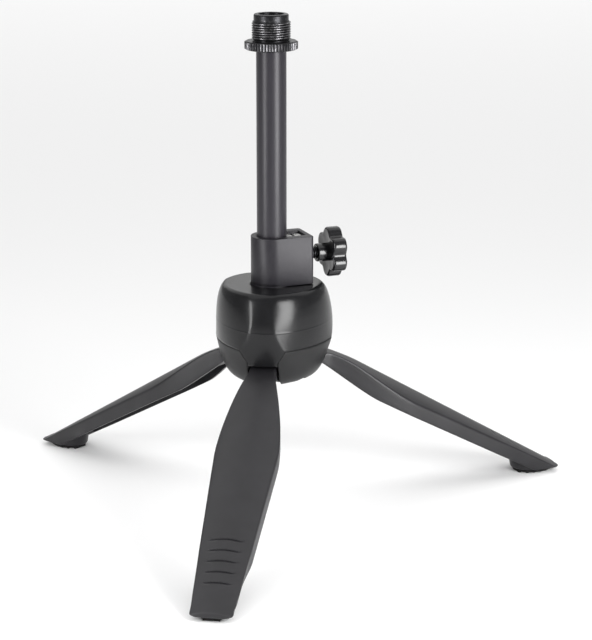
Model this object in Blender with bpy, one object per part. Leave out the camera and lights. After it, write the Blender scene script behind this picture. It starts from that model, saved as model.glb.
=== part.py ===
"""Folding desktop tripod stand with a threaded top.

Three moulded legs hinge in a two-shell hub. A steel tube slides and turns in a clamp collar on the hub.
A star knob presses a pad on the tube, and the tube carries a 5/8 inch, 27 threads per inch adapter.

Everything is built in metres round the tripod's axis, floor at z = 0, and the right leg points along +X.
"""

import math

import bmesh
import bpy
from mathutils import Matrix, Vector

MM = 0.001
INCH = 25.4 * MM

# Clearances
SEAT_GAP = 0.3 * MM  # between two pieces that rest on or fit over each other
RUN_GAP = 0.1 * MM  # round a shaft that turns or slides
MOVE_GAP = 1.05 * MM  # each side of a leg in its slot

# Hub
HUB_BOTTOM = 57.0 * MM  # height above the floor
HUB_HEIGHT = 39.3 * MM
HUB_WAIST = 24.0 * MM  # height of the widest ring above the hub's bottom
HUB_RADIUS = 24.2 * MM  # mean radius at the widest ring
HUB_TOP_INSET = 4.8 * MM  # how much smaller the radius is at the top
HUB_BOTTOM_INSET = 9.2 * MM
HUB_LOBE = 1.35 * MM  # how far the three leg sides stand out of the mean radius
HUB_HOLLOW = 1.5 * MM  # how far the sides between them fall short of it
HUB_BAND = 4.9 * MM  # half width of the strip that runs up over each leg, at the widest ring
HUB_BAND_END = 6.2 * MM  # the same at the hub's top and bottom
HUB_WALL = 2.4 * MM
HUB_SEAM = 16.0 * MM  # height of the joint between the shells above the hub's bottom
TAB_SLOPE = 5.0 * MM  # height of the sloping part of the tab that comes down over each leg
TAB_FOOT = 1.5 * MM  # height of the straight part below it
TAB_FLARE = 3.0 * MM  # how much wider the tab is at the seam, each side
EAR_THICKNESS = 2.2 * MM  # walls that hold the ends of a hinge pin
EAR_RISE = 3.5 * MM  # their height above the leg's round end
SLEEVE_WALL = 1.8 * MM

# Leg hinges
PIVOT_INSET = 8.0 * MM  # from the hub's mean radius in to a hinge
PIVOT_RISE = 5.2 * MM  # from the hub's bottom up to a hinge
PIN_RADIUS = 1.5 * MM
PIN_EDGE = 0.2 * MM
ROOT_RADIUS = 3.6 * MM  # round end of the leg about its pin

# Legs
LEG_REACH = 133.0 * MM  # from the tripod's axis to a leg's tip
LEG_ROOT_HALF = 5.45 * MM
LEG_WIDE_HALF = 12.9 * MM
LEG_TIP_HALF = 8.4 * MM
LEG_WIDE_OUT = 35.8 * MM  # from the hub's mean radius out to the widest place
LEG_KNEE_OUT = 3.3 * MM  # from the hub's mean radius out to the bend in the ridge
LEG_KNEE_RUN = 8.5 * MM  # length of that bend before its corner
LEG_KNEE_DROP = 0.5 * MM
LEG_DEEP_OUT = 19.8 * MM  # from the hub's mean radius out to the deepest place
LEG_DEPTH_ROOT = 4.3 * MM  # depths are measured upright, from the ridge to the side walls' lower edge
LEG_DEPTH_KNEE = 12.2 * MM
LEG_DEPTH_HEEL = 8.9 * MM
LEG_CROWN = 5.0 * MM  # rise of the ridge over the edges at the widest place
LEG_WALL = 1.9 * MM
LEG_ROOF = 2.1 * MM
HEEL_SETBACK = 25.8 * MM  # from the tip
HEEL_LENGTH = 6.3 * MM
FOOT_DRAFT = 2.4 * MM  # how much narrower the foot is below than on top, each side
NOSE_HEIGHT = 2.1 * MM
NOSE_TOP_ROUND = 0.95 * MM  # how far the nose rounds down from above
NOSE_FOOT_ROUND = 0.65 * MM  # and up from below
NOSE_CORNER = 1.7 * MM
GROOVE_COUNT = 5
GROOVE_SETBACK = 31.9 * MM  # from the tip to the groove nearest the hub
GROOVE_PITCH = 4.45 * MM
GROOVE_HALF = 6.9 * MM
GROOVE_SHORTER = 0.3 * MM  # each groove towards the tip, on each side
GROOVE_DEPTH = 0.8 * MM
GROOVE_WIDTH = 0.9 * MM

# Foot pads
PAD_THICKNESS = 1.2 * MM
PAD_LENGTH = 17.6 * MM
PAD_WIDTH = 13.6 * MM
PAD_SETBACK = 10.1 * MM  # from the tip to the pad's middle
PAD_EDGE = 0.3 * MM

# Tube and its stop
TUBE_RADIUS = 6.15 * MM
TUBE_WALL = 1.0 * MM
TUBE_SHOWING = 76.6 * MM  # from the collar's top to the tube's top
TUBE_HIDDEN = 36.5 * MM
STOP_WALL = 1.35 * MM
STOP_HEIGHT = 5.0 * MM
STOP_FLOOR = 1.0 * MM
STOP_LIP = 1.0 * MM  # how far its floor reaches in over the tube's bore

# Collar, on top of the hub
COLLAR_HEIGHT = 19.9 * MM
COLLAR_WALL = 2.35 * MM
BLOCK_LENGTH = 6.8 * MM  # from the round part to the block's flat end
BLOCK_CORNER = 1.3 * MM
COLLAR_EDGE = 0.4 * MM
POCKET_HALF = 4.3 * MM
POCKET_END_WALL = 2.0 * MM
POCKET_FLOOR = 6.0 * MM  # height above the collar's foot
SPIGOT_WALL = 2.45 * MM
SPIGOT_LENGTH = 12.6 * MM
RING_HEIGHT = 4.0 * MM
RING_NOTCH_WIDTH = 2.4 * MM
RING_NOTCH_DEPTH = 1.4 * MM

# Clamp screw
SCREW_RISE = 10.9 * MM  # above the collar's foot
SCREW_RADIUS = 2.4 * MM
SCREW_TIP_RADIUS = 1.5 * MM
SCREW_TIP_LENGTH = 1.1 * MM
SCREW_IN_KNOB = 8.0 * MM
NUT_THICKNESS = 3.0 * MM
NUT_TOP_SETBACK = 0.9 * MM
CLAMP_PAD_HEIGHT = 12.6 * MM
CLAMP_TRAVEL = 0.8 * MM  # room for the pad to move back as the screw is turned once
KNOB_STANDOFF = 4.1 * MM  # bare screw between the block and the knob's neck
NECK_RADIUS = 3.8 * MM
NECK_LENGTH = 4.5 * MM
NECK_EDGE = 0.3 * MM
KNOB_RADIUS = 10.5 * MM
KNOB_THICKNESS = 6.0 * MM
KNOB_LOBES = 6
KNOB_DIP = 1.7 * MM
KNOB_EDGE = 0.9 * MM

# Thread adapter
THREAD_DIAMETER = 0.622 * INCH
THREAD_PITCH = INCH / 27
THREAD_LENGTH = 7.9 * MM
THREAD_DEPTH = 0.55 * MM
RELIEF_LENGTH = 1.0 * MM
NOSE_RADIUS = 7.1 * MM
NOSE_LENGTH = 2.9 * MM
NOSE_EDGE = 0.7 * MM
BORE_EDGE = 0.3 * MM
FLANGE_RADIUS = 10.85 * MM
FLANGE_HEIGHT = 3.5 * MM
FLANGE_EDGE = 0.5 * MM
KNURL_COUNT = 54
KNURL_DEPTH = 0.35 * MM
PLUG_LENGTH = 10.0 * MM
PLUG_WALL = 1.1 * MM

# Screws that hold the two shells together
BOSS_RADIUS = 3.2 * MM
BOSS_INSET = 8.7 * MM  # from the hub's mean radius in to a boss
SHELL_SCREW_RADIUS = 1.45 * MM
SHELL_SCREW_LENGTH = 20.0 * MM
SHELL_SCREW_HEAD = 2.7 * MM
SHELL_SCREW_HEAD_HEIGHT = 1.9 * MM
SHELL_SCREW_SETBACK = 3.0 * MM  # from the hub's bottom up to the seat of its head
CROSS_DEPTH = 1.1 * MM
CROSS_WIDTH = 0.7 * MM
CROSS_LENGTH = 3.0 * MM

# Places that follow from the sizes above: the hub and the hinges
HUB_TOP = HUB_BOTTOM + HUB_HEIGHT
SEAM_HEIGHT = HUB_BOTTOM + HUB_SEAM
TAB_END = SEAM_HEIGHT - TAB_SLOPE - TAB_FOOT
PIVOT_RADIUS = HUB_RADIUS - PIVOT_INSET
PIVOT_HEIGHT = HUB_BOTTOM + PIVOT_RISE
SLOT_HALF = LEG_ROOT_HALF + MOVE_GAP
SLOT_INNER = PIVOT_RADIUS - ROOT_RADIUS - 2 * SEAT_GAP
YOKE_HALF = SLOT_HALF + EAR_THICKNESS
YOKE_TOP = PIVOT_HEIGHT + ROOT_RADIUS + EAR_RISE
TAB_HALF = SLOT_HALF - SEAT_GAP + TAB_FLARE  # at the seam
TAB_ROOM_START = math.sqrt(HUB_RADIUS**2 - TAB_HALF**2) - HUB_WALL - 4 * SEAT_GAP
BOSS_AT = HUB_RADIUS - BOSS_INSET

# The legs
LEG_NECK_AT = HUB_RADIUS
LEG_KNEE_AT = HUB_RADIUS + LEG_KNEE_OUT
LEG_DEEP_AT = HUB_RADIUS + LEG_DEEP_OUT
LEG_WIDE_AT = HUB_RADIUS + LEG_WIDE_OUT
HEEL_AT = LEG_REACH - HEEL_SETBACK
FOOT_FLAT = PAD_THICKNESS + SEAT_GAP

# The mast, the collar and the clamp
COLLAR_FOOT = HUB_TOP + SEAT_GAP
COLLAR_TOP = COLLAR_FOOT + COLLAR_HEIGHT
SPIGOT_END = COLLAR_FOOT - SPIGOT_LENGTH
SCREW_AXIS = COLLAR_FOOT + SCREW_RISE
TUBE_BORE = TUBE_RADIUS - TUBE_WALL
TUBE_TOP = COLLAR_TOP + TUBE_SHOWING
TUBE_END = COLLAR_TOP - TUBE_HIDDEN
STOP_RADIUS = TUBE_RADIUS + RUN_GAP + STOP_WALL
HUB_BORE = STOP_RADIUS + SEAT_GAP + RUN_GAP
SLEEVE_RADIUS = HUB_BORE + SLEEVE_WALL
COLLAR_BORE = TUBE_RADIUS + RUN_GAP
COLLAR_RADIUS = COLLAR_BORE + COLLAR_WALL
SPIGOT_RADIUS = COLLAR_BORE + SPIGOT_WALL
RING_RADIUS = BOSS_AT - BOSS_RADIUS - 2 * SEAT_GAP
BLOCK_REACH = COLLAR_RADIUS + BLOCK_LENGTH
POCKET_END = BLOCK_REACH - POCKET_END_WALL
NUT_BACK = POCKET_END - SEAT_GAP
NUT_FRONT = NUT_BACK - NUT_THICKNESS
CLAMP_PAD_FRONT = TUBE_RADIUS + SEAT_GAP
CLAMP_PAD_BACK = NUT_FRONT - SEAT_GAP - CLAMP_TRAVEL
NECK_START = BLOCK_REACH + KNOB_STANDOFF
KNOB_START = NECK_START + NECK_LENGTH
FLANGE_FOOT = TUBE_TOP + SEAT_GAP
FLANGE_TOP = FLANGE_FOOT + FLANGE_HEIGHT
THREAD_TOP = FLANGE_TOP + THREAD_LENGTH
STAND_TOP = THREAD_TOP + NOSE_LENGTH

LEG_ANGLES = {"right": 0.0, "left": 120.0, "front": 240.0}
BETWEEN_LEGS = (60.0, 180.0, 300.0)

# The tripod's axis stands off the middle of the object's box, because one leg points along +X.
TIP_BACK = (
    math.cos(math.radians(60)) * (LEG_REACH - NOSE_CORNER)
    + math.sin(math.radians(60)) * (LEG_TIP_HALF - NOSE_CORNER)
    + NOSE_CORNER
)
AXIS_X = -(LEG_REACH - TIP_BACK) / 2

PAST = 1.0 * MM  # how far a cutting shape runs past the face that it cuts
ROUND = 32  # sides of a round piece
SMALL_ROUND = 16
SHARP_EDGE = math.radians(38)


# ---------------------------------------------------------------- mesh helpers


def smooth_step(u):
    u = min(max(u, 0.0), 1.0)
    return u * u * (3 - 2 * u)


def circle(radius, z, sides=ROUND):
    angles = (math.tau * i / sides for i in range(sides))
    return [Vector((radius * math.cos(a), radius * math.sin(a), z)) for a in angles]


def skin(loops, ring=False):
    """One closed body through loops of equal length, with flat ends, or joined end to end as a ring."""
    bm = bmesh.new()
    rows = [[bm.verts.new(point) for point in loop] for loop in loops]
    following = rows[1:] + rows[:1] if ring else rows[1:]
    for row, after in zip(rows, following):
        for i in range(len(row)):
            j = (i + 1) % len(row)
            bm.faces.new((row[i], row[j], after[j], after[i]))
    if not ring:
        bm.faces.new(rows[0])
        bm.faces.new(rows[-1])
    bmesh.ops.recalc_face_normals(bm, faces=bm.faces)
    return bm


def turned(profile, sides=ROUND, ring=False):
    """A body turned about Z from (radius, z) points."""
    return skin([circle(radius, z, sides) for radius, z in profile], ring)


def block(low, high):
    outline = [(low[0], low[1]), (high[0], low[1]), (high[0], high[1]), (low[0], high[1])]
    return skin([[Vector((x, y, z)) for x, y in outline] for z in (low[2], high[2])])


def prism(outline, low, high):
    """An outline in Y and Z, extruded along X."""
    return skin([[Vector((x, y, z)) for y, z in outline] for x in (low, high)])


def moved(bm, *steps):
    for step in steps:
        bmesh.ops.transform(bm, matrix=step, verts=bm.verts)
    return bm


def turn_z(degrees):
    return Matrix.Rotation(math.radians(degrees), 4, "Z")


def shift(x, y, z):
    return Matrix.Translation((x, y, z))


# A shape that stands along Z is laid along X or along Y.
ALONG_X = Matrix.Rotation(math.radians(90), 4, "Y")
ALONG_Y = Matrix.Rotation(math.radians(-90), 4, "X")


def shape(name, bm):
    """An object in the scene made from a bmesh."""
    mesh = bpy.data.meshes.new(name)
    bm.to_mesh(mesh)
    bm.free()
    obj = bpy.data.objects.new(name, mesh)
    bpy.context.scene.collection.objects.link(obj)
    return obj


def combine(target, tool_bm, operation):
    """Cuts or joins a tool shape and keeps the result as the target's mesh."""
    tool = shape("tool", tool_bm)
    modifier = target.modifiers.new("combine", "BOOLEAN")
    modifier.operation = operation
    modifier.solver = "EXACT"
    modifier.object = tool
    depsgraph = bpy.context.evaluated_depsgraph_get()
    result = bpy.data.meshes.new_from_object(target.evaluated_get(depsgraph))
    before = target.data
    target.modifiers.clear()
    target.data = result
    bpy.data.meshes.remove(before)
    bpy.data.objects.remove(tool)


def cut(target, tool_bm):
    combine(target, tool_bm, "DIFFERENCE")


def join(target, tool_bm):
    combine(target, tool_bm, "UNION")


def as_tool(obj):
    """Takes a shape made of several back out of the scene, to cut with it."""
    bm = bmesh.new()
    bm.from_mesh(obj.data)
    bpy.data.objects.remove(obj)
    return bm


def rod(radius, low, high, sides=SMALL_ROUND):
    return turned([(radius, low), (radius, high)], sides)


def cross_rod(radius, half_length):
    """A rod across a leg, with the same sides as a hinge pin."""
    return moved(rod(radius, -half_length, half_length), ALONG_Y)


def screw_rod(radius, low, high):
    """A rod along the clamp screw, from one X to another."""
    return moved(rod(radius, low, high), ALONG_X, shift(0, 0, SCREW_AXIS))


def finish(name, color, roughness, metallic=0.0):
    material = bpy.data.materials.new(name)
    material.use_nodes = True
    shader = material.node_tree.nodes["Principled BSDF"]
    shader.inputs["Base Color"].default_value = (*color, 1)
    shader.inputs["Roughness"].default_value = roughness
    shader.inputs["Metallic"].default_value = metallic
    return material


def complete(obj, material, parent):
    """Names the mesh, shades round faces smooth, and hangs the piece on its empty."""
    mesh = obj.data
    mesh.name = obj.name
    mesh.materials.clear()
    mesh.materials.append(material)
    mesh.shade_smooth()
    mesh.set_sharp_from_angle(angle=SHARP_EDGE)
    obj.parent = parent
    return obj


def empty(name, location=(0, 0, 0), turn=0.0, parent=None):
    obj = bpy.data.objects.new(name, None)
    obj.location = location
    obj.rotation_euler.z = math.radians(turn)
    obj.parent = parent
    bpy.context.scene.collection.objects.link(obj)
    return obj


# ---------------------------------------------------------------- hub


def hub_mean_radius(z):
    """Two quarter ellipses that meet at the widest ring."""
    height = z - HUB_BOTTOM
    inset = HUB_TOP_INSET if height > HUB_WAIST else HUB_BOTTOM_INSET
    reach = HUB_HEIGHT - HUB_WAIST if height > HUB_WAIST else HUB_WAIST
    u = min(abs(height - HUB_WAIST) / reach, 1.0)
    return HUB_RADIUS - inset * (1 - math.sqrt(1 - u * u))


def hub_shape_left(z):
    """How much of the three-sided shape is left at a height: all at the widest ring, half at the ends."""
    height = z - HUB_BOTTOM
    reach = HUB_HEIGHT - HUB_WAIST if height > HUB_WAIST else HUB_WAIST
    return 1 - 0.5 * smooth_step(abs(height - HUB_WAIST) / reach)


def hub_loop(z, inset=0.0, band_steps=2, side_steps=8):
    """The hub's outline at a height: a strip over each leg and a flatter side between each two."""
    left = hub_shape_left(z)
    mean = hub_mean_radius(z) - inset
    lobe = mean + HUB_LOBE * left
    hollow = mean - HUB_HOLLOW * left
    away = min(abs(z - HUB_BOTTOM - HUB_WAIST) / (HUB_HEIGHT - HUB_WAIST), 1.0)
    band_angle = math.asin((HUB_BAND + (HUB_BAND_END - HUB_BAND) * away) / lobe)
    half_side = math.radians(60) - band_angle
    # The side is an arc about a centre beyond the axis, through the strips' edges and the side's middle.
    centre = (lobe**2 - hollow**2) / (2 * (lobe * math.cos(half_side) - hollow))
    arc_radius = hollow - centre
    points = []
    for leg in LEG_ANGLES.values():
        start = math.radians(leg)
        for i in range(band_steps):
            points.append((lobe, start - band_angle + 2 * band_angle * i / band_steps))
        for i in range(side_steps):
            turn = -half_side + 2 * half_side * i / side_steps
            radius = centre * math.cos(turn) + math.sqrt(arc_radius**2 - (centre * math.sin(turn)) ** 2)
            points.append((radius, start + math.radians(60) + turn))
    return [Vector((r * math.cos(a), r * math.sin(a), z)) for r, a in points]


def hub_heights(low, high, count):
    """Heights closer together towards the hub's ends, where the outline turns in."""
    middle = HUB_BOTTOM + HUB_WAIST

    def reach(above):
        return HUB_HEIGHT - HUB_WAIST if above > 0 else HUB_WAIST

    first, last = (math.asin((z - middle) / reach(z - middle)) for z in (low, high))
    angles = [first + (last - first) * i / count for i in range(count + 1)]
    return [middle + reach(angle) * math.sin(angle) for angle in angles]


def mirrored(edge):
    """An outline from its right side: the same points again on the left, back down."""
    return [*edge, *((-half, z) for half, z in reversed(edge))]


def tab_edge(lower):
    """Sloping side of the tab over a leg, as (sideways, height) points, run on past the seam."""
    foot_half, knee = SLOT_HALF - SEAT_GAP, SEAM_HEIGHT - TAB_SLOPE
    return [(foot_half + (z - knee) * TAB_FLARE / TAB_SLOPE, z) for z in (lower, SEAM_HEIGHT + PAST)]


def tab_outline():
    """The tab seen from outside: sloping sides over a straight foot, drawn past its end."""
    knee = tab_edge(SEAM_HEIGHT - TAB_SLOPE)
    return mirrored([(knee[0][0], TAB_END - PAST), *knee])


def tab_room():
    """The same with clearance, its sides run on down inside the leg's slot."""
    return mirrored([(half + SEAT_GAP, z) for half, z in tab_edge(SEAM_HEIGHT - TAB_SLOPE - PAST)])


def at_boss(bm, angle):
    return moved(bm, shift(BOSS_AT, 0, 0), turn_z(angle))


def hub_upper_shell():
    """Domed cover with a tab over each leg, three screw bosses and a hole for the collar."""
    shell = shape("hub_upper_shell", skin([hub_loop(z) for z in hub_heights(TAB_END, HUB_TOP, 9)]))
    inside = hub_heights(TAB_END - PAST, HUB_TOP - HUB_WALL, 6)
    cut(shell, skin([hub_loop(z, inset=HUB_WALL) for z in inside]))
    rim = SEAM_HEIGHT + SEAT_GAP / 2
    trim = shape("trim", rod(2 * HUB_RADIUS, TAB_END - 2 * PAST, rim, ROUND))
    for angle in LEG_ANGLES.values():
        cut(trim, moved(prism(tab_outline(), HUB_RADIUS - 3 * HUB_WALL, 3 * HUB_RADIUS), turn_z(angle)))
    cut(shell, as_tool(trim))
    screw_end = HUB_BOTTOM + SHELL_SCREW_SETBACK + SHELL_SCREW_LENGTH + SEAT_GAP
    for angle in BETWEEN_LEGS:
        join(shell, at_boss(rod(BOSS_RADIUS, rim, HUB_TOP - HUB_WALL / 2), angle))
        cut(shell, at_boss(rod(SHELL_SCREW_RADIUS + RUN_GAP, rim - PAST, screw_end), angle))
    cut(shell, rod(SPIGOT_RADIUS + SEAT_GAP, HUB_TOP - HUB_WALL - PAST, HUB_TOP + PAST, ROUND))
    return shell


def hub_lower_shell():
    """Bowl with a forked bearing for each leg, a sleeve for the tube and three screw bosses."""
    rim = SEAM_HEIGHT - SEAT_GAP / 2
    shell = shape("hub_lower_shell", skin([hub_loop(z) for z in hub_heights(HUB_BOTTOM, rim, 7)]))
    inside = hub_heights(HUB_BOTTOM + HUB_WALL, rim + PAST, 5)
    cavity = shape("cavity", skin([hub_loop(z, inset=HUB_WALL) for z in inside]))
    cut(cavity, rod(SLEEVE_RADIUS, HUB_BOTTOM, YOKE_TOP, ROUND))
    for angle in LEG_ANGLES.values():
        yoke = block((HUB_BORE, -YOKE_HALF, HUB_BOTTOM), (2 * HUB_RADIUS, YOKE_HALF, YOKE_TOP))
        cut(cavity, moved(yoke, turn_z(angle)))
    for angle in BETWEEN_LEGS:
        cut(cavity, at_boss(rod(BOSS_RADIUS, HUB_BOTTOM, HUB_TOP), angle))
    cut(shell, as_tool(cavity))
    cut(shell, rod(HUB_BORE, HUB_BOTTOM - PAST, HUB_TOP, ROUND))
    for angle in LEG_ANGLES.values():
        slot = block((SLOT_INNER, -SLOT_HALF, HUB_BOTTOM - PAST), (2 * HUB_RADIUS, SLOT_HALF, HUB_TOP))
        cut(shell, moved(slot, turn_z(angle)))
        cut(shell, moved(prism(tab_room(), TAB_ROOM_START, 3 * HUB_RADIUS), turn_z(angle)))
        pin_hole = cross_rod(PIN_RADIUS + RUN_GAP, YOKE_HALF + SEAT_GAP)
        cut(shell, moved(pin_hole, shift(PIVOT_RADIUS, 0, PIVOT_HEIGHT), turn_z(angle)))
    seat = HUB_BOTTOM + SHELL_SCREW_SETBACK + SEAT_GAP
    head = SHELL_SCREW_HEAD + SEAT_GAP
    shank = SHELL_SCREW_RADIUS + SEAT_GAP
    for angle in BETWEEN_LEGS:
        hole = turned([(head, HUB_BOTTOM - PAST), (head, seat), (shank, seat), (shank, HUB_TOP)], SMALL_ROUND)
        cut(shell, at_boss(hole, angle))
    return shell


def hub_screw():
    """Pan head screw with a cross recess, put in from below. It is drawn about its own axis."""
    head_top = HUB_BOTTOM + SHELL_SCREW_SETBACK
    head_foot = head_top - SHELL_SCREW_HEAD_HEIGHT
    tip = head_top + SHELL_SCREW_LENGTH
    profile = [
        (SHELL_SCREW_HEAD * 0.72, head_foot),
        (SHELL_SCREW_HEAD, head_foot + SHELL_SCREW_HEAD_HEIGHT / 2),
        (SHELL_SCREW_HEAD, head_top),
        (SHELL_SCREW_RADIUS, head_top),
        (SHELL_SCREW_RADIUS, tip - SHELL_SCREW_RADIUS),
        (SHELL_SCREW_RADIUS * 0.3, tip),
    ]
    screw = shape("hub_screw_1", turned(profile, SMALL_ROUND))
    long, thin, low, high = CROSS_LENGTH / 2, CROSS_WIDTH / 2, head_foot - PAST, head_foot + CROSS_DEPTH
    cross = shape("cross", block((-long, -thin, low), (long, thin, high)))
    join(cross, block((-thin, -long, low), (thin, long, high)))
    cut(screw, as_tool(cross))
    return screw


# ---------------------------------------------------------------- legs


def on_line(a, b, radius):
    """Height at a radius on the line through two (radius, height) points."""
    return a[1] + (b[1] - a[1]) * (radius - a[0]) / (b[0] - a[0])


def leg_ridge(radius):
    """Height of the leg's ridge: almost level at the hinge, bent at the knee, then straight to the tip."""
    root = (PIVOT_RADIUS, PIVOT_HEIGHT + ROOT_RADIUS)
    corner = (LEG_KNEE_AT, PIVOT_HEIGHT + ROOT_RADIUS - LEG_KNEE_DROP)
    tip = (LEG_REACH - NOSE_CORNER, FOOT_FLAT + NOSE_HEIGHT)
    start, end = LEG_KNEE_AT - LEG_KNEE_RUN, LEG_KNEE_AT + 1.5 * LEG_KNEE_RUN
    if radius <= start:
        return on_line(root, corner, radius)
    if radius >= end:
        return on_line(corner, tip, radius)
    # A quadratic bend from the first line to the second, solved for its parameter at this radius.
    a = start - 2 * LEG_KNEE_AT + end
    b = 2 * (LEG_KNEE_AT - start)
    t = (-b + math.sqrt(b * b - 4 * a * (start - radius))) / (2 * a)
    first, last = on_line(root, corner, start), on_line(corner, tip, end)
    return (1 - t) ** 2 * first + 2 * t * (1 - t) * corner[1] + t * t * last


def into_nose(radius):
    """How far a radius lies into the rounded nose, from 0 where it starts to 1 at the tip."""
    return max(radius - (LEG_REACH - NOSE_CORNER), 0.0) / NOSE_CORNER


def leg_top(radius):
    """Height of the top, with the round hinge end and the nose."""
    if radius < PIVOT_RADIUS:
        return PIVOT_HEIGHT + math.sqrt(max(ROOT_RADIUS**2 - (radius - PIVOT_RADIUS) ** 2, 0.0))
    return leg_ridge(min(radius, LEG_REACH - NOSE_CORNER)) - NOSE_TOP_ROUND * into_nose(radius) ** 2


def leg_depth(radius):
    """Upright height from the side walls' lower edge to the ridge."""
    root = PIVOT_RADIUS + ROOT_RADIUS
    if radius < LEG_DEEP_AT:
        u = max((radius - root) / (LEG_DEEP_AT - root), 0.0)
        return LEG_DEPTH_ROOT + (LEG_DEPTH_KNEE - LEG_DEPTH_ROOT) * (1 - (1 - u) ** 1.9)
    return on_line((LEG_DEEP_AT, LEG_DEPTH_KNEE), (HEEL_AT, LEG_DEPTH_HEEL), radius)


def leg_half_width(radius):
    if radius < LEG_WIDE_AT:
        u = max((radius - LEG_NECK_AT) / (LEG_WIDE_AT - LEG_NECK_AT), 0.0)
        return LEG_ROOT_HALF + (LEG_WIDE_HALF - LEG_ROOT_HALF) * math.sin(u * math.pi / 2) ** 1.15
    straight = on_line((LEG_WIDE_AT, LEG_WIDE_HALF), (LEG_REACH, LEG_TIP_HALF), radius)
    return straight - NOSE_CORNER * (1 - math.sqrt(1 - min(into_nose(radius), 1.0) ** 2))


def leg_crown(radius):
    """How far the ridge stands over the top's edges: it grows with the width."""
    share = (leg_half_width(radius) ** 2 - LEG_ROOT_HALF**2) / (LEG_WIDE_HALF**2 - LEG_ROOT_HALF**2)
    return LEG_CROWN * max(share, 0.0)


def leg_draft(radius):
    """How far the side walls lean in at their lower edge: upright along the leg, leaning at the foot."""
    return FOOT_DRAFT * smooth_step((radius - HEEL_AT + HEEL_LENGTH) / (2 * HEEL_LENGTH))


def leg_underside(radius):
    """Lower edge of the side walls: round at the hinge, then the leg's depth, then the heel and flat foot."""
    along = leg_ridge(radius) - leg_depth(radius)
    if radius < PIVOT_RADIUS + ROOT_RADIUS:
        round_end = PIVOT_HEIGHT - math.sqrt(max(ROOT_RADIUS**2 - (radius - PIVOT_RADIUS) ** 2, 0.0))
        return round_end if radius < PIVOT_RADIUS else min(round_end, along)
    if radius < HEEL_AT:
        return along
    before_flat = max(1 - (radius - HEEL_AT) / HEEL_LENGTH, 0.0)
    step = leg_ridge(HEEL_AT) - LEG_DEPTH_HEEL - FOOT_FLAT
    nose = NOSE_FOOT_ROUND * into_nose(radius) ** 2
    return FOOT_FLAT + step * (1 - math.sqrt(1 - before_flat**2)) + nose


def between(low, high, count):
    """Evenly spaced places strictly between two ends."""
    return [low + (high - low) * i / count for i in range(1, count)]


def leg_stations():
    """Radii at which the leg's section is drawn, closest where its outline bends."""
    round_end = [PIVOT_RADIUS - ROOT_RADIUS * math.cos(math.pi * i / 8) for i in range(1, 8)]
    neck_start = PIVOT_RADIUS + ROOT_RADIUS
    neck = [neck_start + 0.1 * MM, *between(neck_start, LEG_DEEP_AT, 10)]
    heel = [HEEL_AT + HEEL_LENGTH * (1 - math.cos(math.pi / 2 * i / 4)) for i in range(5)]
    foot = [*between(heel[-1], LEG_REACH - NOSE_CORNER, 2), LEG_REACH - NOSE_CORNER]
    nose = [LEG_REACH - NOSE_CORNER * 0.4, LEG_REACH]
    return [*round_end, *neck, LEG_DEEP_AT, *between(LEG_DEEP_AT, HEEL_AT, 8), *heel, *foot, *nose]


def leg_section(radius, half, top, low, crown, steps=6):
    """A flat-sided section with an arched top, about the leg's hinge."""
    x, foot = radius - PIVOT_RADIUS, half - leg_draft(radius)
    across = [half * (1 - 2 * i / steps) for i in range(steps + 1)]
    arch = [Vector((x, y, top - crown * (y / half) ** 2 - PIVOT_HEIGHT)) for y in across]
    return [Vector((x, foot, low - PIVOT_HEIGHT)), *arch, Vector((x, -foot, low - PIVOT_HEIGHT))]


def leg_outside(radius):
    low, top = leg_underside(radius), leg_top(radius)
    crown = min(leg_crown(radius), 0.75 * (top - low))
    return leg_section(radius, leg_half_width(radius), top, low, crown)


def leg_inside(radius):
    """The channel under the leg, run out below it."""
    full = leg_half_width(radius)
    half = full - LEG_WALL
    crown = leg_crown(radius) * (half / full) ** 2
    top, low = leg_top(radius) - LEG_ROOF, leg_underside(radius) - 3 * PAST
    return leg_section(radius, half, top, low, crown)


def leg_groove(index):
    """A shallow cut across the ridge, deepest on the hub's side."""
    radius = LEG_REACH - GROOVE_SETBACK + index * GROOVE_PITCH
    half = GROOVE_HALF - index * GROOVE_SHORTER
    arch = leg_crown(radius) * (half / leg_half_width(radius)) ** 2
    near, far = radius - PIVOT_RADIUS, radius + GROOVE_WIDTH - PIVOT_RADIUS
    loops = []
    for i in range(7):
        side = 1 - i / 3
        fall = arch * side**2 + PIVOT_HEIGHT
        deep = leg_ridge(radius) - fall - GROOVE_DEPTH * (1 - 0.85 * side**4)
        shallow = leg_ridge(radius + GROOVE_WIDTH) - fall - SEAT_GAP / 4
        corners = ((near, deep), (near, deep + 3 * PAST), (far, shallow + 3 * PAST), (far, shallow))
        loops.append([Vector((x, half * side, z)) for x, z in corners])
    return skin(loops)


def leg():
    """One leg about its hinge: solid at the hinge and the foot, an open channel below between them."""
    body = shape("right_leg", skin([leg_outside(r) for r in leg_stations()]))
    hollow = [r for r in leg_stations() if LEG_KNEE_AT - MM < r < HEEL_AT - LEG_WALL]
    cut(body, skin([leg_inside(r) for r in hollow]))
    for i in range(GROOVE_COUNT):
        cut(body, leg_groove(i))
    cut(body, cross_rod(PIN_RADIUS + RUN_GAP, 2 * LEG_ROOT_HALF))
    return body


def leg_pin():
    reach = YOKE_HALF - SEAT_GAP / 2
    end = PIN_RADIUS - PIN_EDGE
    profile = [(end, -reach), (PIN_RADIUS, PIN_EDGE - reach), (PIN_RADIUS, reach - PIN_EDGE), (end, reach)]
    return shape("right_leg_pin", moved(turned(profile, SMALL_ROUND), ALONG_Y))


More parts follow.
